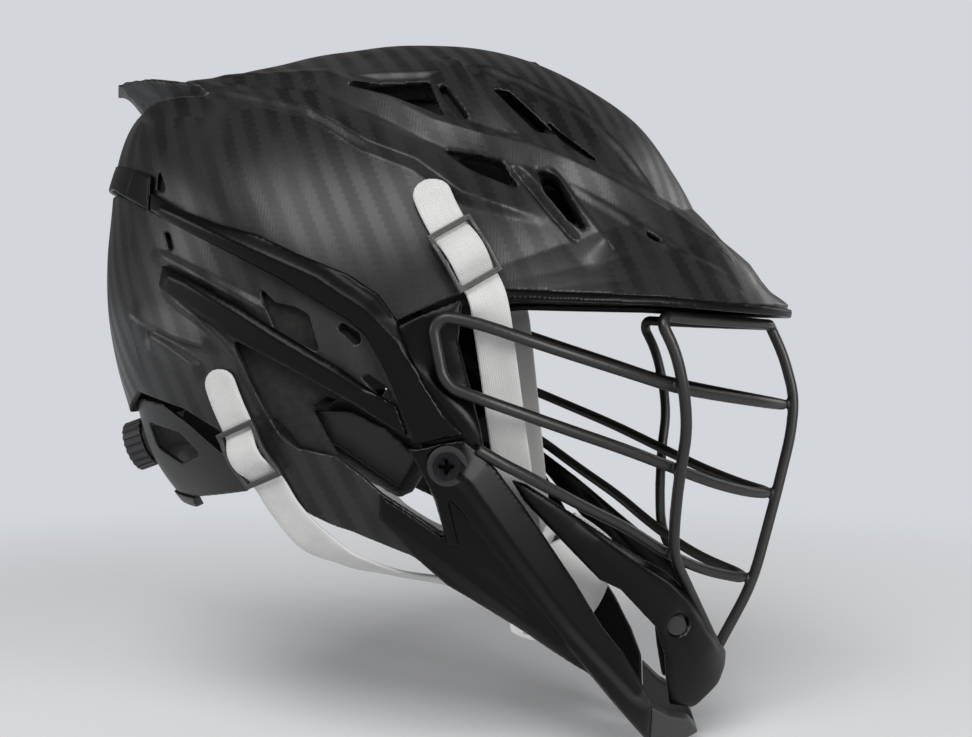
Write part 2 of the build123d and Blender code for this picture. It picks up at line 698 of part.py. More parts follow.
def head_plane(turn, z_share):
    """A plane that faces the head, at a turn from the brow and a height."""
    half = (HEAD_HALF_BREADTH + PAD_FACE, HEAD_HALF_LENGTH + PAD_FACE, HEAD_HALF_HEIGHT + PAD_FACE)
    rise = up(z_share) + HEAD_HALF_HEIGHT
    level = math.sqrt(1 - (rise / half[2]) ** 2)
    spin = math.radians(turn)
    x = half[0] * level * math.sin(spin)
    y = -half[1] * level * math.cos(spin)
    outward = Vector(x / half[0] ** 2, y / half[1] ** 2, rise / half[2] ** 2).normalized()
    cross = Vector(0, 0, 1).cross(outward)
    return Plane(origin=(x, y + HEAD_SET_BACK, up(z_share)), x_dir=cross, z_dir=outward)


# Name, turn from the brow in degrees, height share, length and height of the pad
PAD_LENGTH = 42.0
PAD_HEIGHT = 36.0
SIDE_PAD_LENGTH = 60.0
CORNER_PAD_LENGTH = 34.0
MIDDLE_PADS = (("front_pad", 0, -58, PAD_LENGTH), ("back_pad", 180, -62, PAD_LENGTH))
SIDE_PADS = (
    ("front_side_pad", 42, -56, CORNER_PAD_LENGTH),
    ("side_pad", 90, -54, SIDE_PAD_LENGTH),
    ("back_side_pad", 138, -58, CORNER_PAD_LENGTH),
)


def seated_pad(turn, z_share, length):
    """A pillow cut to the liner's cavity."""
    with BuildPart() as cushion:
        add(pillow(head_plane(turn, z_share), length, PAD_HEIGHT, PAD_SPACE))
        add(head_form(PAD_SPACE - CLEARANCE), mode=Mode.INTERSECT)
    return cushion.part


for name, turn, z_share, length in MIDDLE_PADS:
    pad = seated_pad(turn, z_share, length)
    pad.label = name
    export_step(pad, f"parts/{name}.step")

for name, turn, z_share, length in SIDE_PADS:
    write_pair(seated_pad(turn, z_share, length), name)

CROWN_PAD_LENGTH = 50.0
CROWN_PAD_SET_BACK = 4.0
CROWN_PAD_WIDTH = 44.0
CROWN_CHANNEL_SHARE = 0.27

with BuildPart() as crown_pad:
    for rise_share, size_share in PAD_SECTION_SHARES:
        with BuildSketch(Plane.XY.offset(rise_share * PAD_SPACE)):
            with Locations((0, CROWN_PAD_SET_BACK)):
                RectangleRounded(
                    CROWN_PAD_WIDTH * size_share, CROWN_PAD_LENGTH * size_share, PAD_CORNER * size_share,
                )
    loft()
    for side_of in (1, -1):
        with Locations((0, CROWN_PAD_SET_BACK + side_of * CROWN_CHANNEL_SHARE * CROWN_PAD_LENGTH, 0)):
            Cylinder(PAD_CHANNEL, CROWN_PAD_WIDTH, rotation=(0, 90, 0), mode=Mode.SUBTRACT)
    add(head_form(PAD_SPACE - CLEARANCE), mode=Mode.INTERSECT)
crown_pad.part.label = "crown_pad"
export_step(crown_pad.part, "parts/crown_pad.step")

# Jaw pads on their carrier plates, seen through the jaw openings
PAD_PLATE_SHARES = (
    (46, -133), (49, -142), (32, -148), (21, -156), (8, -165), (0, -152), (12, -140), (26, -133),
)
PAD_PLATE_SET_BACK = 10.0
PAD_PLATE_WALL = 2.4
JAW_PAD_SHARES = (20, -149)
JAW_PAD_LENGTH = 50.0
JAW_PAD_HEIGHT = 28.0
JAW_PAD_TURN = 30.0

with BuildPart() as pad_plate:
    add(skin(PAD_PLATE_SHARES, -PAD_PLATE_SET_BACK, -PAD_PLATE_SET_BACK - PAD_PLATE_WALL, one_side=True))
write_pair(pad_plate.part, "pad_plate")

jaw_pad_rise = (up(JAW_PAD_SHARES[1]) + HEAD_HALF_HEIGHT) / HEAD_HALF_HEIGHT
jaw_pad_reach = (along(JAW_PAD_SHARES[0]) - HEAD_SET_BACK) / HEAD_HALF_LENGTH
jaw_pad_x = HEAD_HALF_BREADTH * math.sqrt(1 - jaw_pad_rise ** 2 - jaw_pad_reach ** 2) + PAD_FACE
jaw_pad_plane = Plane(
    origin=(jaw_pad_x, along(JAW_PAD_SHARES[0]), up(JAW_PAD_SHARES[1])),
    x_dir=(0, math.cos(math.radians(JAW_PAD_TURN)), math.sin(math.radians(JAW_PAD_TURN))),
    z_dir=(1, 0, 0),
)
JAW_PAD_DEPTH = 14.0

with BuildPart() as jaw_pad:
    add(pillow(jaw_pad_plane, JAW_PAD_LENGTH, JAW_PAD_HEIGHT, JAW_PAD_DEPTH))
    add(side_form(-PAD_PLATE_SET_BACK - PAD_PLATE_WALL - CLEARANCE), mode=Mode.INTERSECT)
write_pair(jaw_pad.part, "jaw_pad")

# Fit cradle behind the nape, with its pad, bumper and dial
CRADLE_SHARES = (
    (152, -128), (146, -142), (134, -167), (122, -174), (104, -174), (73, -168), (68, -160),
    (84, -151), (98, -140), (112, -132), (128, -130),
)
CRADLE_WINDOW_SHARES = ((124, -141), (120, -152), (106, -158), (94, -153), (104, -144))
NAPE_PAD_SHARES = ((146, -138), (134, -163), (124, -171), (106, -171), (108, -161), (126, -157), (132, -139))
NAPE_BUMPER_SHARES = ((122, -174.4), (104, -174.4), (103, -179), (116, -179))
NAPE_BUMPER_PROUD = 1.2
DIAL_RAY = -26.0

with BuildPart() as nape_cradle:
    add(skin(CRADLE_SHARES, -CRADLE_SET_BACK, -CRADLE_SET_BACK - CRADLE_WALL))
    add(slab(CRADLE_WINDOW_SHARES), mode=Mode.SUBTRACT)
nape_cradle.part.label = "nape_cradle"
export_step(nape_cradle.part, "parts/nape_cradle.step")

nape_face = -CRADLE_SET_BACK - CRADLE_WALL - CLEARANCE
with BuildPart() as nape_pad:
    add(skin(NAPE_PAD_SHARES, nape_face, nape_face - NAPE_PAD_THICK))
nape_pad.part.label = "nape_pad"
export_step(nape_pad.part, "parts/nape_pad.step")

with BuildPart() as nape_bumper:
    add(skin(
        NAPE_BUMPER_SHARES, NAPE_BUMPER_PROUD - CRADLE_SET_BACK,
        -CRADLE_SET_BACK - CRADLE_WALL - NAPE_BUMPER_PROUD,
    ))
nape_bumper.part.label = "nape_bumper"
export_step(nape_bumper.part, "parts/nape_bumper.step")

dial_reach = along(ray_at(DIAL_RAY)[0]) - CRADLE_SET_BACK
dial_y = along(PIVOT_SHARES[0]) + dial_reach * math.cos(math.radians(DIAL_RAY))
dial_z = up(PIVOT_SHARES[1]) + dial_reach * math.sin(math.radians(DIAL_RAY))
dial_axis = (0, math.cos(math.radians(DIAL_TILT)), -math.sin(math.radians(DIAL_TILT)))
dial_seat = Plane(origin=(0, dial_y, dial_z), x_dir=(1, 0, 0), z_dir=dial_axis)
dial_foot = CLEARANCE + DIAL_BASE_HEIGHT + CLEARANCE

with BuildPart() as dial_base:
    with BuildSketch(dial_seat.offset(CLEARANCE)):
        Circle(DIAL_BASE / 2)
        Circle(DIAL_PIN / 2 + SCREW_FIT, mode=Mode.SUBTRACT)
    extrude(amount=DIAL_BASE_HEIGHT)
dial_base.part.label = "dial_base"
export_step(dial_base.part, "parts/dial_base.step")

with BuildPart() as dial:
    with BuildSketch(dial_seat.offset(dial_foot)):
        Circle(DIAL / 2)
        with PolarLocations(DIAL / 2, DIAL_RIB_COUNT):
            Circle(DIAL_RIB / 2, mode=Mode.SUBTRACT)
    extrude(amount=DIAL_HEIGHT)
    chamfer(dial.faces().sort_by(Axis((0, 0, 0), dial_axis))[-1].edges(), DIAL_CHAMFER)
    with BuildSketch(dial_seat.offset(dial_foot)):
        Circle(DIAL_PIN / 2)
    extrude(amount=-DIAL_BASE_HEIGHT)
dial.part.label = "dial"
export_step(dial.part, "parts/dial.step")

# Chin cup and its pad
CUP_CENTRE_SHARES = (-48, -202)
CUP_SHARES = ((-34, -250), (-34, -226), (-50, -196), (-64, -190), (-90, -204), (-90, -250))
CHIN_PAD_SHARES = ((-38, -244), (-38, -228), (-53, -200), (-64, -196), (-84, -208), (-84, -244))


def cup_form(grow=0.0):
    """The egg that the chin cup is cut from."""
    unit = Sphere(1, mode=Mode.PRIVATE)
    sizes = (CUP_HALF_BREADTH + grow, CUP_HALF_LENGTH + grow, CUP_HALF_HEIGHT + grow)
    return Pos(0, along(CUP_CENTRE_SHARES[0]), up(CUP_CENTRE_SHARES[1])) * scale(unit, by=sizes, mode=Mode.PRIVATE)


with BuildPart() as chin_cup:
    add(slab(CUP_SHARES))
    add(cup_form(), mode=Mode.INTERSECT)
    add(cup_form(-CUP_WALL), mode=Mode.SUBTRACT)
chin_cup.part.label = "chin_cup"
export_step(chin_cup.part, "parts/chin_cup.step")

with BuildPart() as chin_pad:
    add(slab(CHIN_PAD_SHARES))
    add(cup_form(-CUP_WALL - CLEARANCE), mode=Mode.INTERSECT)
    add(cup_form(-CUP_WALL - CLEARANCE - CHIN_PAD_THICK), mode=Mode.SUBTRACT)
chin_pad.part.label = "chin_pad"
export_step(chin_pad.part, "parts/chin_pad.step")

# Webbing: tails and runs, with a ladder buckle between them
STRAP_LIE = CLEARANCE * 2 + STRAP_THICK / 2
BUCKLE_LIE = STRAP_LIE + STRAP_THICK / 2 + CLEARANCE + BUCKLE_THICK / 2
UPPER_TAIL_SHARES = ((-25.3, -80), (-20.7, -72), (-15, -62.5), (-10, -54), (-6.5, -46.5), (-5.2, -43))
TAIL_LIFT_SHARES = (0, 0, 0.15, 0.5, 1, 1)
LOWER_TAIL_SHARES = ((61.2, -160), (66.5, -150.5), (71.5, -140), (75.5, -130), (79, -120), (80, -116.5))
UPPER_RUN_START_SHARES = ((-27.8, -84.2), (-30, -90.5))
UPPER_RUN_SHARES = (
    ((96.4, -32, -103), (1, 0, 0.3)), ((90, -34.5, -124), (1, 0, 0.3)), ((81, -37.5, -150), (1, 0, 0.4)),
    ((62, -42, -187), (1, 0, 0.3)), ((46, -46, -212), (0.9, 0, 0.1)), ((35, -47.5, -227), (0.85, 0, -0.4)),
    ((24.3, -48, -237.5), (0.7, 0, -0.7)),
)
LOWER_RUN_START_SHARES = ((58.6, -164.6), (53.5, -174))
LOWER_RUN_SHARES = (
    ((80, 44, -187), (0.8, 0, -0.6)), ((71, 30, -197), (0.55, 0.2, -0.8)), ((61, 12, -204), (0.35, 0.2, -0.95)),
    ((51, -8, -209), (0.4, 0.2, -0.9)), ((42.5, -26, -214), (0.7, 0.1, -0.6)), ((34.9, -38, -219), (0.9, 0, -0.35)),
)


def on_form(y_share, z_share, stand_off):
    """A station on the left side of the form, with its outward direction."""
    y = along(y_share)
    z = up(z_share)
    normal = form_normal(y, z)
    foot = Vector(form_half_width(y, z), y, z) + normal * stand_off
    return (tuple(foot), tuple(normal))


def run(start_shares, free_shares):
    """A strap that leaves the shell and crosses to the chin cup."""
    stations = [on_form(y, z, STRAP_LIE) for y, z in start_shares]
    stations += [(place(*point), normal) for point, normal in free_shares]
    return webbing(stations)


def buckle_plane(low_shares, high_shares):
    """The plane of a ladder buckle: X across the strap, Y towards its tail, Z out."""
    middle_y = (low_shares[0] + high_shares[0]) / 2
    middle_z = (low_shares[1] + high_shares[1]) / 2
    centre, normal = on_form(middle_y, middle_z, BUCKLE_LIE)
    low = Vector(*on_form(*low_shares, BUCKLE_LIE)[0])
    high = Vector(*on_form(*high_shares, BUCKLE_LIE)[0])
    return Plane(origin=centre, x_dir=(high - low).cross(Vector(*normal)), z_dir=normal)


def ladder_buckle(plane):
    """A frame with three bars and two slots."""
    slot_length = BUCKLE_WIDTH - 2 * BUCKLE_BAR
    slot_height = (BUCKLE_LENGTH - 3 * BUCKLE_BAR) / 2
    with BuildPart() as frame:
        with BuildSketch(plane):
            RectangleRounded(BUCKLE_WIDTH, BUCKLE_LENGTH, BUCKLE_CORNER)
            with GridLocations(0, slot_height + BUCKLE_BAR, 1, 2):
                Rectangle(slot_length, slot_height, mode=Mode.SUBTRACT)
        extrude(amount=BUCKLE_THICK / 2, both=True)
    return frame.part


upper_buckle_plane = buckle_plane(UPPER_TAIL_SHARES[0], UPPER_TAIL_SHARES[2])
lower_buckle_plane = buckle_plane(LOWER_TAIL_SHARES[0], LOWER_TAIL_SHARES[2])
write_pair(ladder_buckle(upper_buckle_plane), "upper_buckle")
write_pair(ladder_buckle(lower_buckle_plane), "lower_buckle")
tail_lift = CREASE_PROUD + CLEARANCE
write_pair(webbing([
    on_form(y, z, STRAP_LIE + lift_share * tail_lift)
    for (y, z), lift_share in zip(UPPER_TAIL_SHARES, TAIL_LIFT_SHARES)
]), "upper_tail")
write_pair(webbing([on_form(y, z, STRAP_LIE) for y, z in LOWER_TAIL_SHARES]), "lower_tail")
write_pair(run(UPPER_RUN_START_SHARES, UPPER_RUN_SHARES), "upper_strap")
write_pair(run(LOWER_RUN_START_SHARES, LOWER_RUN_SHARES), "lower_strap")

# Places that the joints use
hinge_drop = (BUCKLE_LENGTH - BUCKLE_BAR) / 2
for name, plane in (("upper", upper_buckle_plane), ("lower", lower_buckle_plane)):
    print(name, "buckle hinge", plane.from_local_coords(Vector(0, -hinge_drop, 0)), "axis", plane.x_dir)
print("dial", dial_seat.origin, "axis", dial_axis)
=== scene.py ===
"""Looks of the lacrosse helmet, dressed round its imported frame. Metres, +Z up, the face looks along -Y."""

import json
import math

import bmesh
import bpy
import numpy as np
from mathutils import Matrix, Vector

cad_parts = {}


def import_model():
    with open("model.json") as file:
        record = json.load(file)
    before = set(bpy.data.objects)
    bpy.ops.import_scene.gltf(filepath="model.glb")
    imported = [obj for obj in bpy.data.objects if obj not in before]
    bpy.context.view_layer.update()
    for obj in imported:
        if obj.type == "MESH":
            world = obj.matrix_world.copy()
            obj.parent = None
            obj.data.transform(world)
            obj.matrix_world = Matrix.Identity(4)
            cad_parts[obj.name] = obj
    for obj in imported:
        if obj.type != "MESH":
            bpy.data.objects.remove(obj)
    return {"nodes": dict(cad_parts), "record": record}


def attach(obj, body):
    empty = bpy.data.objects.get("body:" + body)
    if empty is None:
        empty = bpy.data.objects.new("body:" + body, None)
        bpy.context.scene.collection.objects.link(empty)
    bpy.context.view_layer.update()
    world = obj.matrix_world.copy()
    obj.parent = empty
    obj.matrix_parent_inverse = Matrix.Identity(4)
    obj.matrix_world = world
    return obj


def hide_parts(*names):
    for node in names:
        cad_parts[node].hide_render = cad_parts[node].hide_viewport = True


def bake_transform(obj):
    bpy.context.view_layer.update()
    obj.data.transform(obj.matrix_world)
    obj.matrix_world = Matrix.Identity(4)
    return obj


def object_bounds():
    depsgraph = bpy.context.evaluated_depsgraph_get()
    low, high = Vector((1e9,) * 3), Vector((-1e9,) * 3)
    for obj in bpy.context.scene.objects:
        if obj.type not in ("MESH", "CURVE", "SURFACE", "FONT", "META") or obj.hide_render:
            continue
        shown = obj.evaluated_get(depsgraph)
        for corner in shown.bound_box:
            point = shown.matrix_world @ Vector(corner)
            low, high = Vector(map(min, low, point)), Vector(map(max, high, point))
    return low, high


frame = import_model()
cad_low, cad_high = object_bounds()

MM = 0.001
NODES = frame["nodes"]
RECORD = frame["record"]
BODY_OF = {node: body for body, names in RECORD["behaviour"]["bodies"].items() for node in names}
SIDES = ("left", "right")

# The helmet's outer form, in millimetres: rays from a pivot in the side view, each with its angle
# from the rear, its reach and how full the form is from side to side
HALF_WIDTH = 106.0
PIVOT = (20.0, -95.0)
RAYS = np.array((
    (-150, 150, 1.7), (-138, 197, 1.6), (-134, 226, 1.58), (-126, 239, 1.55), (-120, 232, 1.6),
    (-112, 196, 1.7), (-102, 165, 1.85), (-90, 149, 1.95), (-60, 138, 2.0), (-40, 134.5, 2.0),
    (-30, 134.5, 2.0), (-18, 131.5, 2.0), (-6, 133, 2.0), (8, 136.5, 2.0), (20, 141, 2.0),
    (30, 149.5, 2.0), (38, 154, 2.0), (46, 148, 1.98), (54, 138.5, 1.95), (66, 129.5, 1.9),
    (82, 126, 1.85), (98, 128, 1.85), (116, 134, 1.88), (130, 138.5, 1.9), (142, 144, 1.9),
    (152, 145, 1.88), (160, 147, 1.85), (167, 156, 1.83), (172, 167.5, 1.8), (178, 182, 1.8),
    (186, 172, 1.75), (196, 158, 1.7), (210, 150, 1.7),
))
# From the neck round the back to the brow the rays are eased into each other, in degrees
EASE_FROM = -98
EASE_TO = 148
EASE_SPREAD = 6
SLOPE_STEP = 0.4
HALVINGS = 40
TINY = 1e-9


def eased_reaches():
    """Whole degrees of turn and the form's reach at each, so that the shells show no facets."""
    turns = np.arange(RAYS[0, 0], RAYS[-1, 0] + 1)
    reaches = np.interp(turns, RAYS[:, 0], RAYS[:, 1])
    window = np.hanning(2 * EASE_SPREAD + 3)
    padded = np.pad(reaches, EASE_SPREAD, mode="edge")
    eased = np.convolve(padded, window[1:-1] / window.sum(), mode="valid")
    return turns, np.where((turns > EASE_FROM) & (turns < EASE_TO), eased, reaches)


TURNS, REACHES = eased_reaches()


def form_level(x, y, z):
    """Below 1 inside the form, 1 on it and above 1 outside."""
    dy, dz = y - PIVOT[0], z - PIVOT[1]
    angle = np.degrees(np.arctan2(dz, dy))
    angle = np.where(angle < RAYS[0, 0], angle + 360, angle)
    reach = np.interp(angle, TURNS, REACHES)
    fullness = np.interp(angle, RAYS[:, 0], RAYS[:, 2])
    return (np.abs(x) / HALF_WIDTH) ** fullness + (np.hypot(dy, dz) / reach) ** fullness


def form_rise(x, y, z):
    """The form's level at a place, and what it gains over a short step along X, Y and Z."""
    level = form_level(x, y, z)
    steps = ((SLOPE_STEP, 0, 0), (0, SLOPE_STEP, 0), (0, 0, SLOPE_STEP))
    return level, [form_level(x + a, y + b, z + c) - level for a, b, c in steps]


def form_half_width(y, z):
    """Half width of the form at a point of the side view."""
    low, high = 0.0, HALF_WIDTH
    for _ in range(HALVINGS):
        middle = (low + high) / 2
        if form_level(middle, y, z) < 1:
            low = middle
        else:
            high = middle
    return low


def on_form(y, z, out):
    """A station off the left side of the form, with its outward direction."""
    x = form_half_width(y, z)
    normal = Vector(form_rise(x, y, z)[1]).normalized()
    return Vector((x, y, z)) + normal * out, normal


def form_slope(points):
    """Outward unit directions of the form at points given in metres."""
    slope = np.stack(form_rise(*(points / MM).T)[1], axis=1)
    return slope / np.maximum(np.linalg.norm(slope, axis=1, keepdims=True), TINY)


def stand_off(points):
    """How far points given in metres lie outside the form, in millimetres, near its surface."""
    level, rise = form_rise(*(points / MM).T)
    return (level - 1) * SLOPE_STEP / np.maximum(np.sqrt(sum(r * r for r in rise)), TINY)


# Shader building


def linear(code):
    """An sRGB hex colour as linear light."""
    parts = [int(code[i:i + 2], 16) / 255 for i in (1, 3, 5)]
    return [v / 12.92 if v <= 0.04045 else ((v + 0.055) / 1.055) ** 2.4 for v in parts] + [1.0]


def feed(tree, node, **inputs):
    """Feeds a node's inputs, named or numbered as i0 and so on, with values or outputs."""
    for name, value in inputs.items():
        numbered = name[0] == "i" and name[1:].isdigit()
        socket = node.inputs[int(name[1:]) if numbered else name.replace("_", " ")]
        if isinstance(value, bpy.types.NodeSocket):
            tree.links.new(value, socket)
        else:
            socket.default_value = value


def add_node(tree, kind, settings=None, **inputs):
    """Adds a node, sets it up and feeds its inputs."""
    made = tree.nodes.new("ShaderNode" + kind)
    for name, value in (settings or {}).items():
        setattr(made, name, value)
    feed(tree, made, **inputs)
    return made


def new_material(name):
    """An empty material with its shader and output."""
    material = bpy.data.materials.new(name)
    material.use_nodes = True
    tree = material.node_tree
    tree.nodes.clear()
    shader = add_node(tree, "BsdfPrincipled")
    add_node(tree, "OutputMaterial", Surface=shader.outputs["BSDF"])
    return material, tree, shader


def two_tone(tree, share, low, high):
    """A colour between two hex colours."""
    return add_node(tree, "MixRGB", i0=share, i1=linear(low), i2=linear(high)).outputs[0]


def ranged(tree, value, source, result, smooth=False):
    """A value carried from one range of values to another."""
    settings = {"interpolation_type": "SMOOTHSTEP"} if smooth else None
    return add_node(
        tree, "MapRange", settings,
        i0=value, i1=source[0], i2=source[1], i3=result[0], i4=result[1]).outputs[0]


def noise(tree, place, scale, detail):
    """Cloudy noise, with its scale in cells a metre."""
    return add_node(tree, "TexNoise", Vector=place, Scale=scale, Detail=detail).outputs["Fac"]


def raised(tree, height, strength, depth, invert=False):
    """A normal that follows a height pattern, with its depth in metres."""
    bump = add_node(
        tree, "Bump", {"invert": invert}, Strength=strength, Distance=depth, Height=height)
    return bump.outputs["Normal"]


def maths_in(tree):
    """A function that adds a math node to a tree and gives its output."""
    def maths(operation, *values):
        inputs = {f"i{i}": value for i, value in enumerate(values)}
        return add_node(tree, "Math", {"operation": operation}, **inputs).outputs[0]
    return maths


def wear_share(tree, low, high):
    """1 on outside edges, where handling polishes a surface, and 0 elsewhere."""
    pointed = add_node(tree, "NewGeometry").outputs["Pointiness"]
    return ranged(tree, pointed, (low, high), (0.0, 1.0))


# Carbon cloth: a 4 x 4 twill of narrow warp and wide weft tows, seen through a satin lacquer
WARP = 1.35 * MM
WEFT = 2.9 * MM
TWILL = 4.0
TWILL_EDGE = (1.3, 2.7)
DRIFT_TOWS = 5.0


def carbon_twill_lacquered():
    """Carbon fibre cloth in epoxy under satin lacquer: steep stepped bands, dark on dark."""
    material, tree, shader = new_material("carbon_twill_lacquered")
    maths = maths_in(tree)
    coordinates = add_node(tree, "TexCoord")
    place = coordinates.outputs["Object"]
    spot = add_node(tree, "SeparateXYZ", Vector=place)
    facing = add_node(tree, "SeparateXYZ", Vector=coordinates.outputs["Normal"])

    def pick(share, first, second):
        kept = maths("MULTIPLY", maths("SUBTRACT", 1.0, share), first)
        return maths("ADD", maths("MULTIPLY", share, second), kept)

    def largest(one, *others):
        return maths("MULTIPLY", *[maths("GREATER_THAN", one, other) for other in others])

    def across_tow(tows):
        return maths("SUBTRACT", maths("MULTIPLY", maths("FRACT", tows), 2.0), 1.0)

    def swing(value, amount):
        return maths("MULTIPLY", maths("SUBTRACT", value, 0.5), amount)

    # The cloth lies on the form from the side, from the back and from above
    sideways, endways, upward = [maths("ABSOLUTE", facing.outputs[i]) for i in range(3)]
    on_end = largest(endways, sideways, upward)
    on_top = largest(upward, sideways, endways)
    drift = maths("MULTIPLY", noise(tree, place, 7.0, 1.0), DRIFT_TOWS)
    along = maths("DIVIDE", maths("MULTIPLY", pick(on_end, spot.outputs[1], spot.outputs[0]), -1.0), WARP)
    along = maths("ADD", along, drift)
    height = maths("DIVIDE", pick(on_top, spot.outputs[2], spot.outputs[0]), WEFT)
    step = maths("PINGPONG", maths("ADD", along, maths("FLOOR", height)), TWILL)
    warp_up = ranged(tree, step, TWILL_EDGE, (0.0, 1.0), smooth=True)
    across = pick(warp_up, across_tow(height), across_tow(along))
    crown = maths("SUBTRACT", 1.0, maths("MULTIPLY", across, across))
    # Fine strands along the tows, cloudy patches, and slanting streaks of painted sheen that lighten the cloth and
    # wash out the weave
    stretched = add_node(tree, "Mapping", Vector=place, Scale=(900.0, 900.0, 90.0))
    strands = noise(tree, stretched.outputs[0], 1.0, 2.0)
    patches = noise(tree, place, 16.0, 3.0)
    slanted = add_node(tree, "Mapping", Vector=place, Rotation=(0.5, 0.0, 0.0), Scale=(30.0, 30.0, 9.0))
    painted_sheen = noise(tree, slanted.outputs[0], 1.0, 2.0)
    # Painted sheen: under its streaks the weave's contrast fades and the tone rises
    depth = ranged(tree, painted_sheen, (0.36, 0.62), (0.62, 0.14))
    tone = maths("ADD", maths("MULTIPLY", maths("SUBTRACT", warp_up, 0.5), depth), 0.42)
    # Painted shade: the tone darkens by up to 15% towards each tow's edges, where the tows dip under each other
    tone = maths("MULTIPLY", tone, maths("ADD", 0.85, maths("MULTIPLY", crown, 0.15)))
    tone = maths("ADD", tone, swing(strands, 0.3))
    tone = maths("ADD", tone, swing(patches, 0.6))
    tone = maths("ADD", tone, swing(painted_sheen, 1.6))
    gloss = maths("ADD", warp_up, maths("MULTIPLY", patches, 0.8))
    feed(
        tree, shader, Base_Color=two_tone(tree, tone, "#060606", "#2a2a2a"),
        Roughness=ranged(tree, gloss, (0.2, 1.6), (0.5, 0.34)), Normal=raised(tree, crown, 0.2, 0.12 * MM),
        Specular_IOR_Level=0.2, Coat_Weight=0.18, Coat_Roughness=0.3, Coat_IOR=1.5)
    return material


def moulded_plastic(name, colours, roughness, grain, strength, specular=0.5):
    """Injection moulded plastic: a faint flow pattern, a fine grain and paler rubbed edges."""
    material, tree, shader = new_material(name)
    low, high, worn = colours
    place = add_node(tree, "TexCoord").outputs["Object"]
    flow = noise(tree, place, 18.0, 4.0)
    skin = two_tone(tree, flow, low, high)
    rubbed = add_node(tree, "MixRGB", i0=wear_share(tree, 0.53, 0.62), i1=skin, i2=linear(worn))
    feed(
        tree, shader, Base_Color=rubbed.outputs[0],
        Roughness=ranged(tree, flow, (0.3, 0.7), (roughness * 0.85, roughness * 1.2)),
        Normal=raised(tree, noise(tree, place, 1 / grain, 2.0), strength, 0.1 * MM),
        IOR=1.5, Specular_IOR_Level=specular)
    return material


def powder_coated_wire():
    """Steel wire under satin powder coat: an orange-peel skin, a little brown in its clouds."""
    material, tree, shader = new_material("powder_coated_wire")
    place = add_node(tree, "TexCoord").outputs["Object"]
    peel = noise(tree, place, 1 / (0.9 * MM), 3.0)
    feed(
        tree, shader, Base_Color=two_tone(tree, noise(tree, place, 40.0, 3.0), "#0b0a09", "#1a1715"),
        Roughness=0.42, Normal=raised(tree, peel, 0.25, 0.12 * MM))
    return material


def blackened_steel():
    """Steel with a black oxide finish: dark metal with paler rubbed rims."""
    material, tree, shader = new_material("blackened_steel")
    place = add_node(tree, "TexCoord").outputs["Object"]
    feed(
        tree, shader, Base_Color=two_tone(tree, wear_share(tree, 0.54, 0.62), "#0b0b0c", "#2c2c2e"),
        Roughness=ranged(tree, noise(tree, place, 700.0, 2.0), (0.3, 0.7), (0.28, 0.5)), Metallic=1.0)
    return material


def moulded_foam():
    """Expanded polypropylene foam: fused beads 3 mm across, dull and slightly mottled."""
    material, tree, shader = new_material("moulded_bead_foam")
    place = add_node(tree, "TexCoord").outputs["Object"]
    beads = add_node(tree, "TexVoronoi", Vector=place, Scale=1 / (3 * MM)).outputs["Distance"]
    height = maths_in(tree)("ADD", beads, noise(tree, place, 1 / (0.8 * MM), 2.0))
    feed(
        tree, shader, Base_Color=two_tone(tree, beads, "#191918", "#242423"),
        Roughness=0.9, Specular_IOR_Level=0.25, Normal=raised(tree, height, 0.4, 0.3 * MM, invert=True))
    return material


def brushed_knit():
    """Brushed polyester knit over pad foam: loops 1.2 mm apart with a soft nap that catches side light."""
    material, tree, shader = new_material("brushed_polyester_knit")
    place = add_node(tree, "TexCoord").outputs["Object"]
    loops = add_node(tree, "TexVoronoi", {"feature": "SMOOTH_F1"}, Vector=place, Scale=1 / (1.2 * MM))
    nap = noise(tree, place, 1 / (4 * MM), 5.0)
    feed(
        tree, shader, Base_Color=two_tone(tree, nap, "#0a0a0b", "#151517"),
        Roughness=0.92, Sheen_Weight=0.5, Sheen_Roughness=0.5,
        Normal=raised(tree, loops.outputs["Distance"], 0.7, 0.3 * MM, invert=True))
    return material


PICK = 0.9 * MM


def woven_webbing():
    """Polyester webbing: picks 0.9 mm apart in a fine herringbone, off-white, with painted shade in the weave's
    hollows and cloudy soiling.
    """
    material, tree, shader = new_material("woven_polyester_webbing")
    maths = maths_in(tree)
    coordinates = add_node(tree, "TexCoord")
    spot = add_node(tree, "SeparateXYZ", Vector=coordinates.outputs["UV"])
    across = maths("DIVIDE", spot.outputs[0], PICK)
    along = maths("DIVIDE", spot.outputs[1], PICK)
    zigzag = maths("PINGPONG", across, 2.0)
    weave = maths("SINE", maths("MULTIPLY", maths("ADD", along, zigzag), math.pi))
    ends = maths("SINE", maths("MULTIPLY", across, 2 * math.pi))
    height = maths("ADD", maths("ABSOLUTE", weave), maths("MULTIPLY", ends, 0.3))
    soil = noise(tree, coordinates.outputs["Object"], 60.0, 4.0)
    # Painted shade: darker where the weave's height is low, with cloudy soil mixed in at random
    share = maths("ADD", maths("MULTIPLY", height, 0.35), maths("MULTIPLY", soil, 0.6))
    feed(
        tree, shader, Base_Color=two_tone(tree, share, "#9d9d9b", "#c4c4c2"),
        Roughness=0.75, Sheen_Weight=0.2, Normal=raised(tree, height, 0.5, 0.2 * MM))
    return material


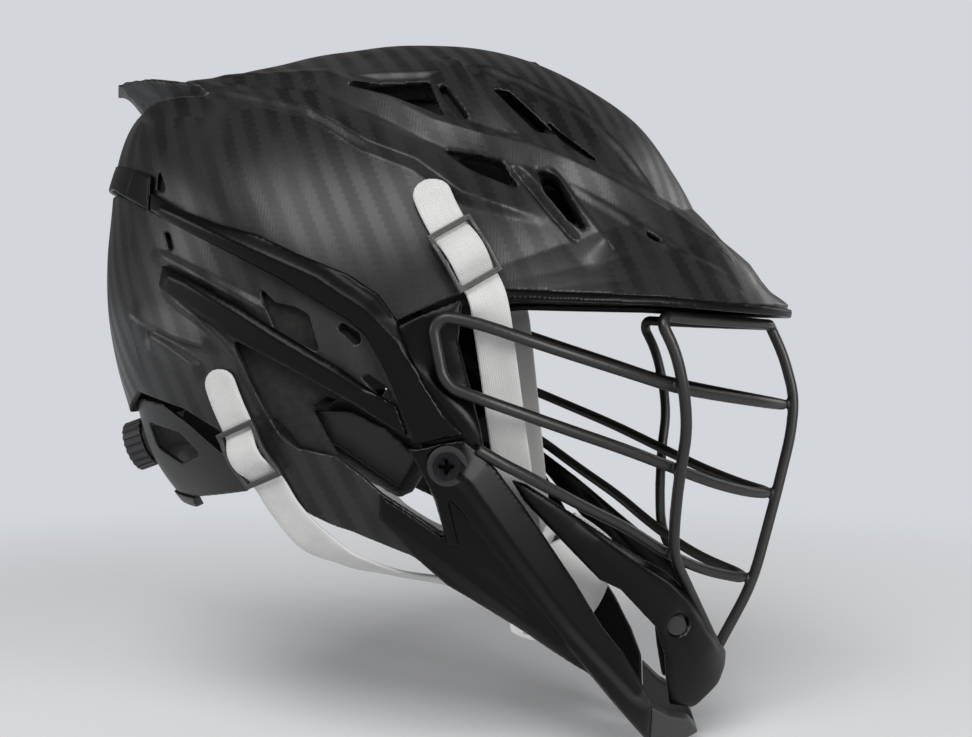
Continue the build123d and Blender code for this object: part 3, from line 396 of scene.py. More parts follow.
CARBON = carbon_twill_lacquered()
GLOSS = moulded_plastic(
    "gloss_polycarbonate", ("#010101", "#030303", "#080808"), 0.32, 2.5 * MM, 0.03, specular=0.15)
MATTE = moulded_plastic("grained_nylon", ("#0c0c0c", "#151515", "#262626"), 0.45, 0.7 * MM, 0.3, specular=0.4)
ACETAL = moulded_plastic("moulded_acetal", ("#262625", "#30302e", "#3c3c3a"), 0.36, 0.8 * MM, 0.15)
RUBBER = moulded_plastic("moulded_rubber", ("#222222", "#2e2e2e", "#363636"), 0.5, 1.0 * MM, 0.25)
CUP = moulded_plastic("moulded_polyethylene", ("#ecebe9", "#f4f4f2", "#f6f6f4"), 0.42, 1.2 * MM, 0.12)
KNOB = moulded_plastic("moulded_knob_nylon", ("#161617", "#202022", "#303032"), 0.45, 0.7 * MM, 0.3)
WIRE = powder_coated_wire()
STEEL = blackened_steel()
FOAM = moulded_foam()
KNIT = brushed_knit()
WEBBING = woven_webbing()


# Mesh work
VOXEL = 0.8 * MM
FINE_VOXEL = 0.7 * MM
ROUNDS = 4
WELD = 0.01 * MM


def piece_from(bm, name):
    """A scene object made of a bmesh, which is freed."""
    mesh = bpy.data.meshes.new(name)
    bm.to_mesh(mesh)
    bm.free()
    piece = bpy.data.objects.new(name, mesh)
    bpy.context.scene.collection.objects.link(piece)
    return piece


def copy_of(names, piece_name):
    """A free copy of some CAD nodes' meshes, joined and with their seams welded."""
    bm = bmesh.new()
    for name in names:
        bm.from_mesh(NODES[name].data)
    bmesh.ops.remove_doubles(bm, verts=bm.verts, dist=WELD)
    return piece_from(bm, piece_name)


def settle(piece):
    """Applies a piece's modifiers to its mesh."""
    graph = bpy.context.evaluated_depsgraph_get()
    made = bpy.data.meshes.new_from_object(piece.evaluated_get(graph))
    piece.modifiers.clear()
    old = piece.data
    piece.data = made
    bpy.data.meshes.remove(old)


def points_of(piece):
    """A mesh's points as an array, in metres."""
    flat = np.zeros(len(piece.data.vertices) * 3)
    piece.data.vertices.foreach_get("co", flat)
    return flat.reshape(-1, 3)


def normals_of(piece):
    """A mesh's point normals as an array."""
    flat = np.zeros(len(piece.data.vertices) * 3)
    piece.data.vertex_normals.foreach_get("vector", flat)
    return flat.reshape(-1, 3)


def edges_of(piece):
    """A mesh's edges as pairs of point numbers."""
    flat = np.zeros(len(piece.data.edges) * 2, dtype=np.int64)
    piece.data.edges.foreach_get("vertices", flat)
    return flat.reshape(-1, 2)


def set_points(piece, points):
    """Writes a mesh's points back."""
    piece.data.vertices.foreach_set("co", points.ravel())
    piece.data.update()


def gridded(piece, voxel):
    """Rebuilds a piece on an even grid, once its modifiers are applied."""
    grid = piece.modifiers.new("grid", "REMESH")
    grid.mode = "VOXEL"
    grid.voxel_size = voxel


def remeshed(piece, voxel, rounds):
    """Rebuilds a piece on an even grid and rounds its edges, as a mould does."""
    gridded(piece, voxel)
    ease = piece.modifiers.new("ease", "SMOOTH")
    ease.factor = 0.5
    ease.iterations = rounds
    settle(piece)
    return piece


def evened(values, edges, rounds):
    """A value at each point, averaged with its neighbours."""
    count = np.bincount(edges.ravel(), minlength=len(values))
    for _ in range(rounds):
        total = np.bincount(edges[:, 0], values[edges[:, 1]], len(values))
        total += np.bincount(edges[:, 1], values[edges[:, 0]], len(values))
        values = 0.5 * values + 0.5 * total / np.maximum(count, 1)
    return values


def set_evened(piece, points, edges, near, rounds):
    """Writes a mesh's points back, evened with their neighbours by a share from 0 to 1."""
    smooth = np.stack([evened(points[:, i], edges, rounds) for i in range(3)], axis=1)
    set_points(piece, points + (smooth - points) * near[:, None])


def line_field(line, y, z):
    """Distance from a line walked towards the face, positive above it, and the share walked."""
    best = np.full(len(y), np.inf)
    height = np.zeros(len(y))
    share = np.zeros(len(y))
    spots = np.array(line, float)
    runs = np.hypot(*(spots[1:] - spots[:-1]).T)
    walked = 0.0
    for (y0, z0), (y1, z1), run in zip(spots, spots[1:], runs):
        t = np.clip(((y - y0) * (y1 - y0) + (z - z0) * (z1 - z0)) / run ** 2, 0, 1)
        dy, dz = y - y0 - t * (y1 - y0), z - z0 - t * (z1 - z0)
        gap = np.hypot(dy, dz)
        near = gap < best
        side = np.where((y1 - y0) * dz - (z1 - z0) * dy < 0, 1.0, -1.0)
        best = np.where(near, gap, best)
        height = np.where(near, gap * side, height)
        share = np.where(near, (walked + t * run) / runs.sum(), share)
        walked += run
    return height, share


def crest(line, height, above, below, fade=0.12, bow=1.0):
    """A raised line that falls away over a width on each side, as a function of the side view.

    It fades in and out over a share of its length, and a bow over 1 hollows its slopes."""
    def field(y, z):
        gap, share = line_field(line, y, z)
        slope = np.where(gap > 0, gap / above, -gap / below)
        taper = np.clip(np.minimum(share, 1 - share) / fade, 0, 1)
        return height * taper * np.clip(1 - slope, 0, 1) ** bow
    return field


# How square a point faces out, and how far out it lies, before it counts as outer skin
FACING_FROM = 0.5
FACING_OVER = 0.3
PROUD_FROM = 0.2
PROUD_OVER = 0.3
SKIN_DEPTH = 2.0


def on_to_form(piece, top):
    """Lays the outer skin exactly on the form, up to a stand-off in millimetres."""
    points = points_of(piece)
    slope = form_slope(points)
    off = stand_off(points)
    square = (normals_of(piece) * slope).sum(axis=1)
    facing = np.clip((square - FACING_FROM) / FACING_OVER, 0, 1)
    facing = np.maximum(facing, np.clip((off - PROUD_FROM) / PROUD_OVER, 0, 1))
    near = facing * np.clip(off + SKIN_DEPTH, 0, 1) * np.clip(top - off, 0, 1)
    set_points(piece, points - slope * (off * near)[:, None] * MM)


LIFT_ROUNDS = 2
RELIEF_ROUNDS = 3
RELIEF_LEAST = 0.1


def relief(piece, fields, foot):
    """Raises creases, ridges and slats on the part of a piece that stands above a foot, in millimetres."""
    points = points_of(piece)
    slope = form_slope(points)
    skin = np.clip(stand_off(points) - foot, 0, 1)
    y, z = points[:, 1] / MM, points[:, 2] / MM
    lift = np.zeros(len(points))
    for field in fields:
        made = field(y, z)
        lift = np.where(np.abs(made) > np.abs(lift), made, lift)
    edges = edges_of(piece)
    lift = evened(lift * skin, edges, LIFT_ROUNDS) * skin
    points = points + slope * lift[:, None] * MM
    near = evened(np.where(np.abs(lift) > RELIEF_LEAST, 1.0, 0.0), edges, RELIEF_ROUNDS) * skin
    set_evened(piece, points, edges, near, RELIEF_ROUNDS)


SWELL_FACING = 0.75
SWELL_ROUNDS = 8


def swollen(piece, height, reach):
    """Swells a piece's outer skin between its rims, as struts of a moulding are rounded."""
    points = points_of(piece)
    edges = edges_of(piece)
    slope = form_slope(points)
    outer = (normals_of(piece) * slope).sum(axis=1) > SWELL_FACING
    span = np.linalg.norm(points[edges[:, 0]] - points[edges[:, 1]], axis=1)
    away = np.where(outer, 1.0, 0.0)
    for _ in range(int(reach * MM / span.mean()) + 2):
        step = away.copy()
        np.minimum.at(step, edges[:, 0], away[edges[:, 1]] + span)
        np.minimum.at(step, edges[:, 1], away[edges[:, 0]] + span)
        away = step
    share = np.clip(away / (reach * MM), 0, 1)
    lift = evened(height * (1 - (1 - share) ** 2) * outer, edges, SWELL_ROUNDS)
    set_points(piece, points + slope * (lift * outer)[:, None] * MM)


# Tail fin: where it bows down and thins, in millimetres, with the size of the columns it is thinned in
FIN_START = 138.0
FIN_LEVEL = 2.0
FIN_LEVEL_FADE = 4.0
FIN_DROOP = 0.012
FIN_THIN_FROM = 144.0
FIN_UNDERSIDE = -4.0
FIN_UNDERSIDE_FADE = 3.0
FIN_EDGE_SHARE = 0.2
FIN_COLUMN = (2.0, 1.5)
FIN_COLUMNS_ACROSS = 1000
FIN_ROUNDS = 4


def swept_fin(piece):
    """Bows the tail fin's tip down and thins it to an edge, as the back of the crown sweeps out."""
    points = points_of(piece)
    beyond = np.maximum(points[:, 1] / MM - FIN_START, 0)
    above = np.clip((points[:, 2] / MM - FIN_LEVEL) / FIN_LEVEL_FADE, 0, 1)
    points[:, 2] -= FIN_DROOP * beyond ** 2 * above * MM
    x, y, z = (points / MM).T
    fin = np.flatnonzero((y > FIN_THIN_FROM) & (z > FIN_UNDERSIDE))
    row = np.round(np.abs(x[fin]) / FIN_COLUMN[0])
    column = (row * FIN_COLUMNS_ACROSS + np.floor(y[fin] / FIN_COLUMN[1])).astype(int)
    tops = np.full(column.max() + 1, -np.inf)
    np.maximum.at(tops, column, z[fin])
    share = (y[fin] - FIN_THIN_FROM) / (y.max() - FIN_THIN_FROM)
    share = share * np.clip((z[fin] - FIN_UNDERSIDE) / FIN_UNDERSIDE_FADE, 0, 1)
    points[fin, 2] += (tops[column] - z[fin]) * share * (1 - FIN_EDGE_SHARE) * MM
    edges = edges_of(piece)
    near = evened(np.isin(np.arange(len(points)), fin) * 1.0, edges, FIN_ROUNDS)
    set_evened(piece, points, edges, near, FIN_ROUNDS)


def finish(piece, material):
    """Gives a piece its material and smooth shading."""
    piece.data.materials.clear()
    piece.data.materials.append(material)
    piece.data.polygons.foreach_set("use_smooth", [True] * len(piece.data.polygons))


def dress(piece, nodes, material):
    """Gives a piece its finish and puts it in the place of its CAD nodes."""
    finish(piece, material)
    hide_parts(*nodes)
    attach(piece, BODY_OF[nodes[0]])
    return piece


# Stand-offs above which relief is raised, in millimetres: a shell's outer skin, a rail's, the chin piece's
SHELL_FOOT = -2.0
RAIL_FOOT = 0.8
CHIN_FOOT = -7.0


def moulded(node, material, voxel=VOXEL, rounds=ROUNDS, swell=None, fields=(), foot=SHELL_FOOT, grow=0.0, laid=None):
    """A CAD node with the small radii of a moulding, its struts rounded and its creases raised."""
    piece = remeshed(copy_of([node], node + "_moulding"), voxel, rounds)
    if grow:
        set_points(piece, points_of(piece) + normals_of(piece) * grow * MM)
    if laid:
        on_to_form(piece, laid)
    if swell:
        swollen(piece, *swell)
    if fields:
        relief(piece, fields, foot)
    return dress(piece, [node], material)


EDGE_ROUND = 0.25 * MM
EDGE_ANGLE = 40.0
SHARP_ANGLE = 35.0


def carried(node, material):
    """A CAD node that keeps its mesh, with a finish and smooth rounds."""
    piece = NODES[node]
    finish(piece, material)
    piece.data.set_sharp_from_angle(angle=math.radians(SHARP_ANGLE))
    edge = piece.modifiers.new("edge", "BEVEL")
    edge.width = EDGE_ROUND
    edge.segments = 2
    edge.limit_method = "ANGLE"
    edge.angle_limit = math.radians(EDGE_ANGLE)
    edge.harden_normals = True


# Shells: carbon skins with the creases and louvres of the side view, in millimetres (y, z)
SHELL_ROUNDS = 6
SHELL_GROW = 0.2
UPPER_PROUD = 3.4
REAR_PROUD = 2.0
SIDE_RIDGE = (
    (118, 11), (101, 9), (76, 8), (43, 7), (17, -4), (-6, -17), (-25, -23), (-45, -27), (-60, -32), (-74, -38),
    (-91, -46), (-104, -52), (-125, -64), (-144, -79),
)
BAND_FOOT = ((46, -3), (29, -9), (6, -20), (-12, -30), (-34, -34), (-54, -37), (-82, -52), (-108, -68), (-139, -80))
SPINE_FOOT = ((65, 4), (36, 7), (-1, 8), (-25, 12), (-44, 4), (-66, -8), (-83, -24), (-96, -40), (-107, -54))
LONG_CREASE = ((142, 17), (111, 10), (78, -1), (46, -10), (20, -26), (0, -34), (-19, -48), (-53, -57))
VISOR_TIP = ((-143, -71), (-153, -80), (-163, -88))
# Slats between the openings, each with its height and its width below the line
SLAT_WIDTH_ABOVE = 1.8
SLATS = (
    (((-2, 16), (-14, -4), (-23, -19)), 2.6, 2.5), (((-1, 19), (-22, -5), (-40, -24)), 3.4, 4.0),
    (((-9, 19), (-27, -6), (-44, -26)), 4.0, 15.0), (((-41, -33), (-56, -51), (-70, -67)), 2.4, 5.0),
    (((-51, -33), (-66, -53), (-80, -70)), 3.4, 13.0),
)
GROOVE_DEPTH = 2.0
GROOVE_WIDTH = 1.6
SLAT_GROOVES = (
    ((-5, 15), (-18, -5), (-31, -21)), ((-7, 19), (-25, -5), (-42, -25)),
    ((-47, -34), (-62, -52), (-76, -69)), ((-37, -33), (-52, -51), (-66, -67)),
)
UPPER_FIELDS = [
    crest(SIDE_RIDGE, height=4.2, above=7.0, below=9.0, fade=0.1),
    crest(BAND_FOOT, height=0.9, above=1.5, below=3.0),
    crest(LONG_CREASE, height=3.2, above=15.0, below=3.0, fade=0.14, bow=1.5),
    crest(SPINE_FOOT, height=2.0, above=12.0, below=2.5, fade=0.15, bow=1.3),
    crest(VISOR_TIP, height=-2.4, above=9.0, below=6.0, fade=0.4),
]
UPPER_FIELDS += [crest(line, height, SLAT_WIDTH_ABOVE, width, fade=0.15) for line, height, width in SLATS]
UPPER_FIELDS += [crest(line, -GROOVE_DEPTH, GROOVE_WIDTH, GROOVE_WIDTH) for line in SLAT_GROOVES]
OPENING_FLANGE = ((107, -84), (90, -95), (78, -105), (71, -112), (62, -129), (52, -144), (47, -147))
WINDOW_FLANGE = ((128, -93), (119, -96), (98, -104), (78, -109))
LOWER_FLANGE = ((116, -101), (103, -107), (86, -117))
SEAM_FLANGE = ((112, -67), (94, -75), (71, -86), (55, -94))
JAW_EDGE = ((48, -170), (29, -183), (9, -196), (-12, -208))
REAR_FIELDS = [
    crest(OPENING_FLANGE, height=1.6, above=3.0, below=2.0),
    crest(WINDOW_FLANGE, height=2.2, above=9.0, below=2.0, fade=0.15, bow=1.5),
    crest(LOWER_FLANGE, height=2.2, above=2.0, below=8.0),
    crest(SEAM_FLANGE, height=1.6, above=2.0, below=5.0),
    crest(JAW_EDGE, height=1.5, above=1.5, below=7.0),
]
swept_fin(moulded("upper_shell", CARBON, rounds=SHELL_ROUNDS, fields=UPPER_FIELDS, grow=SHELL_GROW, laid=UPPER_PROUD))
moulded("rear_shell", CARBON, rounds=SHELL_ROUNDS, fields=REAR_FIELDS, grow=SHELL_GROW, laid=REAR_PROUD)

# Gloss mouldings: rails, cheek plates, jaw guards, chin piece, bridge and brim trim
UPPER_RAIL_LINE = (
    (112, -48), (95, -55), (71, -65.5), (44, -77), (36, -80.5), (17, -93), (5, -106), (-7, -126), (-16, -142),
)
LOWER_RAIL_LINE = ((105, -77), (92, -82), (69, -94), (54, -103), (28, -118), (14, -127))
CHIN_LINE = ((-64, -180), (-85, -196.5), (-103, -210), (-111, -219), (-120, -234), (-131, -252))
BRIDGE_LINE = ((164, -25), (154, -25), (140, -27), (124, -32))
JAW_BAR_LINE = ((-10, -150), (-22, -160), (-42, -190), (-63, -221), (-97, -264))
JAW_STRIP_LINE = ((16, -172), (0, -184), (-22, -203), (-46, -222), (-66, -238))
JAW_WEB_LINE = ((-22, -198), (-34, -208), (-46, -222))
UPPER_RAIL_FIELDS = [crest(UPPER_RAIL_LINE, height=3.0, above=5.0, below=7.0, fade=0.05)]
LOWER_RAIL_FIELDS = [crest(LOWER_RAIL_LINE, height=2.2, above=3.0, below=7.0, fade=0.05)]
CHIN_FIELDS = [crest(CHIN_LINE, height=1.6, above=2.5, below=10.0)]
BRIDGE_FIELDS = [crest(BRIDGE_LINE, height=-2.2, above=4.0, below=12.0, fade=0.05)]
JAW_FIELDS = [
    crest(JAW_BAR_LINE, height=4.2, above=10.0, below=5.0, fade=0.08),
    crest(JAW_STRIP_LINE, height=1.2, above=3.0, below=6.0, fade=0.1),
    crest(JAW_WEB_LINE, height=-0.7, above=5.0, below=2.0, fade=0.2),
]
# Heights and reaches from the rim of swollen struts, in millimetres
CHIN_SWELL = (0.8, 3.0)
CHEEK_SWELL = (1.0, 6.0)
JAW_SWELL = (0.6, 3.0)
TRIM_VOXEL = 0.5 * MM
TRIM_GROW = 0.6
moulded("chin_piece", GLOSS, FINE_VOXEL, swell=CHIN_SWELL, fields=CHIN_FIELDS, foot=CHIN_FOOT)
moulded("rear_bridge", GLOSS, fields=BRIDGE_FIELDS, foot=RAIL_FOOT)
moulded("brim_trim", GLOSS, TRIM_VOXEL, rounds=1, grow=TRIM_GROW)
for side in SIDES:
    moulded(f"upper_rail_{side}", GLOSS, FINE_VOXEL, fields=UPPER_RAIL_FIELDS, foot=RAIL_FOOT)
    moulded(f"lower_rail_{side}", GLOSS, FINE_VOXEL, fields=LOWER_RAIL_FIELDS, foot=RAIL_FOOT)
    moulded(f"cheek_plate_{side}", GLOSS, FINE_VOXEL, swell=CHEEK_SWELL)
    moulded(f"jaw_guard_{side}", GLOSS, FINE_VOXEL, swell=JAW_SWELL, fields=JAW_FIELDS, foot=RAIL_FOOT)

# Rubber and matte mouldings, and small pieces that keep the CAD's mesh
moulded("chin_bumper", RUBBER)
moulded("nape_bumper", RUBBER)
moulded("nape_cradle", MATTE)
moulded("chin_cup", CUP)
for side in SIDES:
    moulded(f"pad_plate_{side}", MATTE)
carried("dial", KNOB)
for node in ("dial_base", "chin_plugs", "side_washers"):
    carried(node, MATTE)
for node in ("side_screws", "t_nuts"):
    carried(node, STEEL)

# Wire mask: four bent wires coated as one cage, its crossings rounded by weld metal
MASK_NODES = ("frame_wire", "loop_wire", "third_bar", "centre_wire")
dress(remeshed(copy_of(MASK_NODES, "welded_mask"), FINE_VOXEL, ROUNDS), MASK_NODES, WIRE)

# Foam liners: the rear one has a thin skirt down to the jaw opening's edge
LINER_VOXEL = 2.0 * MM
REAR_LINER_VOXEL = 1.3 * MM
REAR_LINER_ROUNDS = 6
SKIRT = (
    (76, -100), (75, -108), (66, -124), (56, -142), (48, -151), (30, -155), (33, -148), (41, -133), (47, -124),
    (50, -117),
)
SKIRT_OUT = -4.2
SKIRT_WALL = 3.2
SKIRT_STEP = 1.5


def inside(outline, y, z):
    """True within an outline of the side view."""
    hit = False
    for (y0, z0), (y1, z1) in zip(outline, outline[1:] + outline[:1]):
        if (z0 > z) != (z1 > z) and y < (y1 - y0) * (z - z0) / (z1 - z0) + y0:
            hit = not hit
    return hit


def add_skirt(piece, flip):
    """Adds a closed panel that follows the form within the skirt's outline."""
    ys, zs = [p[0] for p in SKIRT], [p[1] for p in SKIRT]
    bm = bmesh.new()
    bm.from_mesh(piece.data)
    grid = {}
    for i in range(int((max(ys) - min(ys)) / SKIRT_STEP) + 2):
        for j in range(int((max(zs) - min(zs)) / SKIRT_STEP) + 2):
            y, z = min(ys) + i * SKIRT_STEP, min(zs) + j * SKIRT_STEP
            if inside(SKIRT, y, z):
                pair = [on_form(y, z, SKIRT_OUT - depth)[0] for depth in (0, SKIRT_WALL)]
                grid[i, j] = [bm.verts.new((p.x * flip * MM, p.y * MM, p.z * MM)) for p in pair]
    made = []
    for i, j in list(grid):
        corners = [grid.get(key) for key in ((i, j), (i + 1, j), (i + 1, j + 1), (i, j + 1))]
        if all(corners):
            made.append(bm.faces.new([c[0] for c in corners]))
            made.append(bm.faces.new([c[1] for c in reversed(corners)]))
    rim = {edge for face in made[::2] for edge in face.edges if len(edge.link_faces) == 1}
    partner = {outer: inner for outer, inner in grid.values()}
    for edge in rim:
        a, b = edge.verts
        bm.faces.new((b, a, partner[a], partner[b]))
    loose = [v for v in bm.verts if not v.link_faces]
    bmesh.ops.delete(bm, geom=loose, context="VERTS")
    bmesh.ops.recalc_face_normals(bm, faces=bm.faces)
    bm.to_mesh(piece.data)
    bm.free()


for node in ("crown_liner", "front_liner"):
    moulded(node, FOAM, LINER_VOXEL)
rear_liner = copy_of(["rear_liner"], "rear_liner_moulding")
add_skirt(rear_liner, 1)
add_skirt(rear_liner, -1)
dress(remeshed(rear_liner, REAR_LINER_VOXEL, REAR_LINER_ROUNDS), ["rear_liner"], FOAM)

# Pads: knit over foam, swollen by a short cloth simulation
PAD_VOXEL = 2.4 * MM
PAD_SHRINK = 1.0 * MM
PAD_CAP = 1.6 * MM
PAD_PRESSURE = 4.0
SIM_QUALITY = 5
SIM_FRAMES = 20


def stuffed(node):
    """A pad that swells like a filled cover inside its CAD solid's space."""
    piece = copy_of([node], node + "_cover")
    gridded(piece, PAD_VOXEL)
    settle(piece)
    start = points_of(piece) - normals_of(piece) * PAD_SHRINK
    set_points(piece, start)
    cloth = piece.modifiers.new("cloth", "CLOTH")
    cloth.settings.use_pressure = True
    cloth.settings.uniform_pressure_force = PAD_PRESSURE
    cloth.settings.effector_weights.gravity = 0.0
    cloth.settings.quality = SIM_QUALITY
    cloth.point_cache.frame_start = 1
    cloth.point_cache.frame_end = SIM_FRAMES
    for step in range(1, SIM_FRAMES + 1):
        bpy.context.scene.frame_set(step)
    settle(piece)
    bpy.context.scene.frame_set(1)
    move = points_of(piece) - start
    reach = np.linalg.norm(move, axis=1, keepdims=True)
    set_points(piece, start + move * np.minimum(1.0, PAD_CAP / np.maximum(reach, TINY)))
    fine = piece.modifiers.new("fine", "SUBSURF")
    fine.levels = 1
    fine.render_levels = 1
    settle(piece)
    dress(piece, [node], KNIT)


PADS = ["crown_pad", "front_pad", "back_pad", "nape_pad", "chin_pad"]
PADS += [f"{part}_{side}" for part in ("front_side_pad", "side_pad", "back_side_pad", "jaw_pad") for side in SIDES]
for node in PADS:
    stuffed(node)

# Webbing, in millimetres on the left side. A buckle lies between two (y, z) places on the form. Its tail has
# (y, z, lift off the form), and its run starts at (y, z) on the form and goes on through points with facings
STRAP_WIDTH = 15.4
STRAP_THICK = 1.6
STRAP_LIE = 1.4
STRAP_STEP = 1.2
END_FULLNESS = 2.6
END_LEAST = 0.02
BUCKLE_LIE = 3.7
UPPER_BUCKLE = ((-25.3, -80), (-15, -62.5))
UPPER_TAIL = ((-10, -54, 1.0), (-6.5, -46.5, 1.9), (-5.2, -43, 1.9))
LOWER_BUCKLE = ((61.2, -160), (71.5, -140))
LOWER_TAIL = ((75.5, -130, 0), (79, -120, 0), (80, -116.5, 0))
UPPER_RUN_START = ((-27.8, -84.2), (-30, -90.5))
UPPER_RUN = (
    ((96.4, -32, -103), (1, 0, 0.3)), ((90, -34.5, -124), (1, 0, 0.3)), ((81, -37.5, -150), (1, 0, 0.4)),
    ((62, -42, -187), (1, 0, 0.3)), ((46, -46, -212), (0.9, 0, 0.1)), ((35, -47.5, -227), (0.85, 0, -0.4)),
    ((24.3, -48, -237.5), (0.7, 0, -0.7)),
)
LOWER_RUN_START = ((58.6, -164.6), (53.5, -174))
LOWER_RUN = (
    ((80, 44, -187), (0.8, 0, -0.6)), ((71, 30, -197), (0.55, 0.2, -0.8)), ((61, 12, -204), (0.35, 0.2, -0.95)),
    ((51, -8, -209), (0.4, 0.2, -0.9)), ((42.5, -26, -214), (0.7, 0.1, -0.6)), ((34.9, -38, -219), (0.9, 0, -0.35)),
)
# Webbing through a ladder buckle: (place along the buckle, height over its plane)
THREADING = ((-13.5, -2.3), (-10.7, -2.4), (-7.5, -0.6), (-4, 1.9), (0, 2.7), (4, 1.9), (7.5, -0.6), (10.7, -2.4))
RUN_HEAD = (-12.2, -2.3)
# Ladder buckle: (place along, height) of its bars and of points on its bowed rails
BAR_PLACES = ((-11.8, -0.5), (0, 0.9), (11.8, -0.5))
BAR_WIDE = 2.2
BAR_DEEP = 1.9
RAIL_WIDE = 1.8
RAIL_REACH = 9.0
RAIL_BOW = ((-12.9, -0.5), (-9, -0.3), (-5, 0.7), (0, 1.3), (5, 0.7), (9, -0.3), (12.9, -0.5))
BUCKLE_VOXEL = 0.35 * MM
BUCKLE_ROUNDS = 3
CORNERS = ((-1, -1), (1, -1), (1, 1), (-1, 1))
# Section of the webbing, as shares of half its width and half its thickness
EDGE_SHARES = (
    (-1, 0), (-0.97, 0.7), (-0.88, 1), (-0.5, 0.94), (0, 0.9), (0.5, 0.94), (0.88, 1), (0.97, 0.7),
    (1, 0), (0.97, -0.7), (0.88, -1), (0.5, -0.94), (0, -0.9), (-0.5, -0.94), (-0.88, -1), (-0.97, -0.7),
)


def through(stations):
    """Smooth stations, evenly spaced, through given ones."""
    centres = [centre for centre, _ in stations]
    facings = [Vector(facing).normalized() for _, facing in stations]
    made = []
    for i in range(len(stations) - 1):
        p0, p1 = centres[max(i - 1, 0)], centres[i]
        p2, p3 = centres[i + 1], centres[min(i + 2, len(centres) - 1)]
        count = max(2, int((p2 - p1).length / STRAP_STEP))
        for k in range(count):
            t = k / count
            spot = 0.5 * (2 * p1 + (p2 - p0) * t + (2 * p0 - 5 * p1 + 4 * p2 - p3) * t ** 2
                          + (3 * p1 - p0 - 3 * p2 + p3) * t ** 3)
            made.append((spot, facings[i].slerp(facings[i + 1], t * t * (3 - 2 * t))))
    made.append((centres[-1], facings[-1]))
    return made


def travel_at(path, i):
    """The direction of a path at one of its points."""
    return (path[min(i + 1, len(path) - 1)] - path[max(i - 1, 0)]).normalized()


def ribbon(name, stations, flip, round_end=False):
    """Flat webbing with rolled edges along smooth stations."""
    stations = through(stations)
    centres = [centre for centre, _ in stations]
    run_length = [0.0]
    for a, b in zip(centres, centres[1:]):
        run_length.append(run_length[-1] + (b - a).length)
    total = run_length[-1]
    radius = STRAP_WIDTH / 2
    bm = bmesh.new()
    uv = bm.loops.layers.uv.new("UVMap")
    rings, shares = [], []
    for i, (centre, facing) in enumerate(stations):
        travel = travel_at(centres, i)
        cross = travel.cross(facing).normalized()
        out = cross.cross(travel).normalized()
        near_end = max(0.0, run_length[i] - (total - radius)) / radius
        narrow = math.sqrt(max(END_LEAST, 1 - near_end ** END_FULLNESS)) if round_end else 1.0
        ring = []
        for across, thick in EDGE_SHARES:
            p = centre + cross * (across * narrow * radius) + out * (thick * STRAP_THICK / 2)
            ring.append(bm.verts.new((p.x * flip * MM, p.y * MM, p.z * MM)))
        rings.append(ring)
        shares.append(narrow)
    for i, (low, high) in enumerate(zip(rings, rings[1:])):
        for j in range(len(EDGE_SHARES)):
            k = (j + 1) % len(EDGE_SHARES)
            face = bm.faces.new((low[j], low[k], high[k], high[j]))
            corners = ((i, j), (i, k), (i + 1, k), (i + 1, j))
            for loop, (row, column) in zip(face.loops, corners):
                width = EDGE_SHARES[column][0] * shares[row] * radius
                loop[uv].uv = (width * MM, run_length[row] * MM)
    bm.faces.new(rings[0])
    bm.faces.new(rings[-1])
    bmesh.ops.recalc_face_normals(bm, faces=bm.faces)
    return piece_from(bm, name)


def buckle_frame(low, high):
    """Centre, across, along and outward directions of a ladder buckle."""
    centre, normal = on_form((low[0] + high[0]) / 2, (low[1] + high[1]) / 2, BUCKLE_LIE)
    travel = on_form(*high, BUCKLE_LIE)[0] - on_form(*low, BUCKLE_LIE)[0]
    cross = travel.cross(normal).normalized()
    return centre, cross, normal.cross(cross).normalized(), normal


def rod(bm, path, wide, deep, cross):
    """A flat rod along a path, with its width along one direction, for joining by a remesh."""
    rings = []
    for i, spot in enumerate(path):
        travel = travel_at(path, i)
        side = (cross - travel * cross.dot(travel)).normalized()
        rise = travel.cross(side)
        corners = [spot + side * (a * wide / 2) + rise * (b * deep / 2) for a, b in CORNERS]
        rings.append([bm.verts.new(c * MM) for c in corners])
    for low, high in zip(rings, rings[1:]):
        for j in range(4):
            bm.faces.new((low[j], low[(j + 1) % 4], high[(j + 1) % 4], high[j]))
    bm.faces.new(rings[0])
    bm.faces.new(rings[-1])


def ladder_buckle(node, buckle, flip):
    """A ladder buckle: three cross bars between rails that bow up at the middle."""
    centre, cross, along, out = buckle
    bm = bmesh.new()
    for spot, height in BAR_PLACES:
        ends = [centre + along * spot + out * height + cross * (side * RAIL_REACH) for side in (-1, 1)]
        rod(bm, ends, BAR_WIDE, BAR_DEEP, along)
    for side in (-1, 1):
        path = [centre + cross * (side * RAIL_REACH) + along * y + out * z for y, z in RAIL_BOW]
        rod(bm, path, RAIL_WIDE, BAR_DEEP, cross)
    bmesh.ops.scale(bm, verts=bm.verts, vec=(flip, 1, 1))
    bmesh.ops.recalc_face_normals(bm, faces=bm.faces)
    dress(remeshed(piece_from(bm, node + "_moulding"), BUCKLE_VOXEL, BUCKLE_ROUNDS), [node], ACETAL)


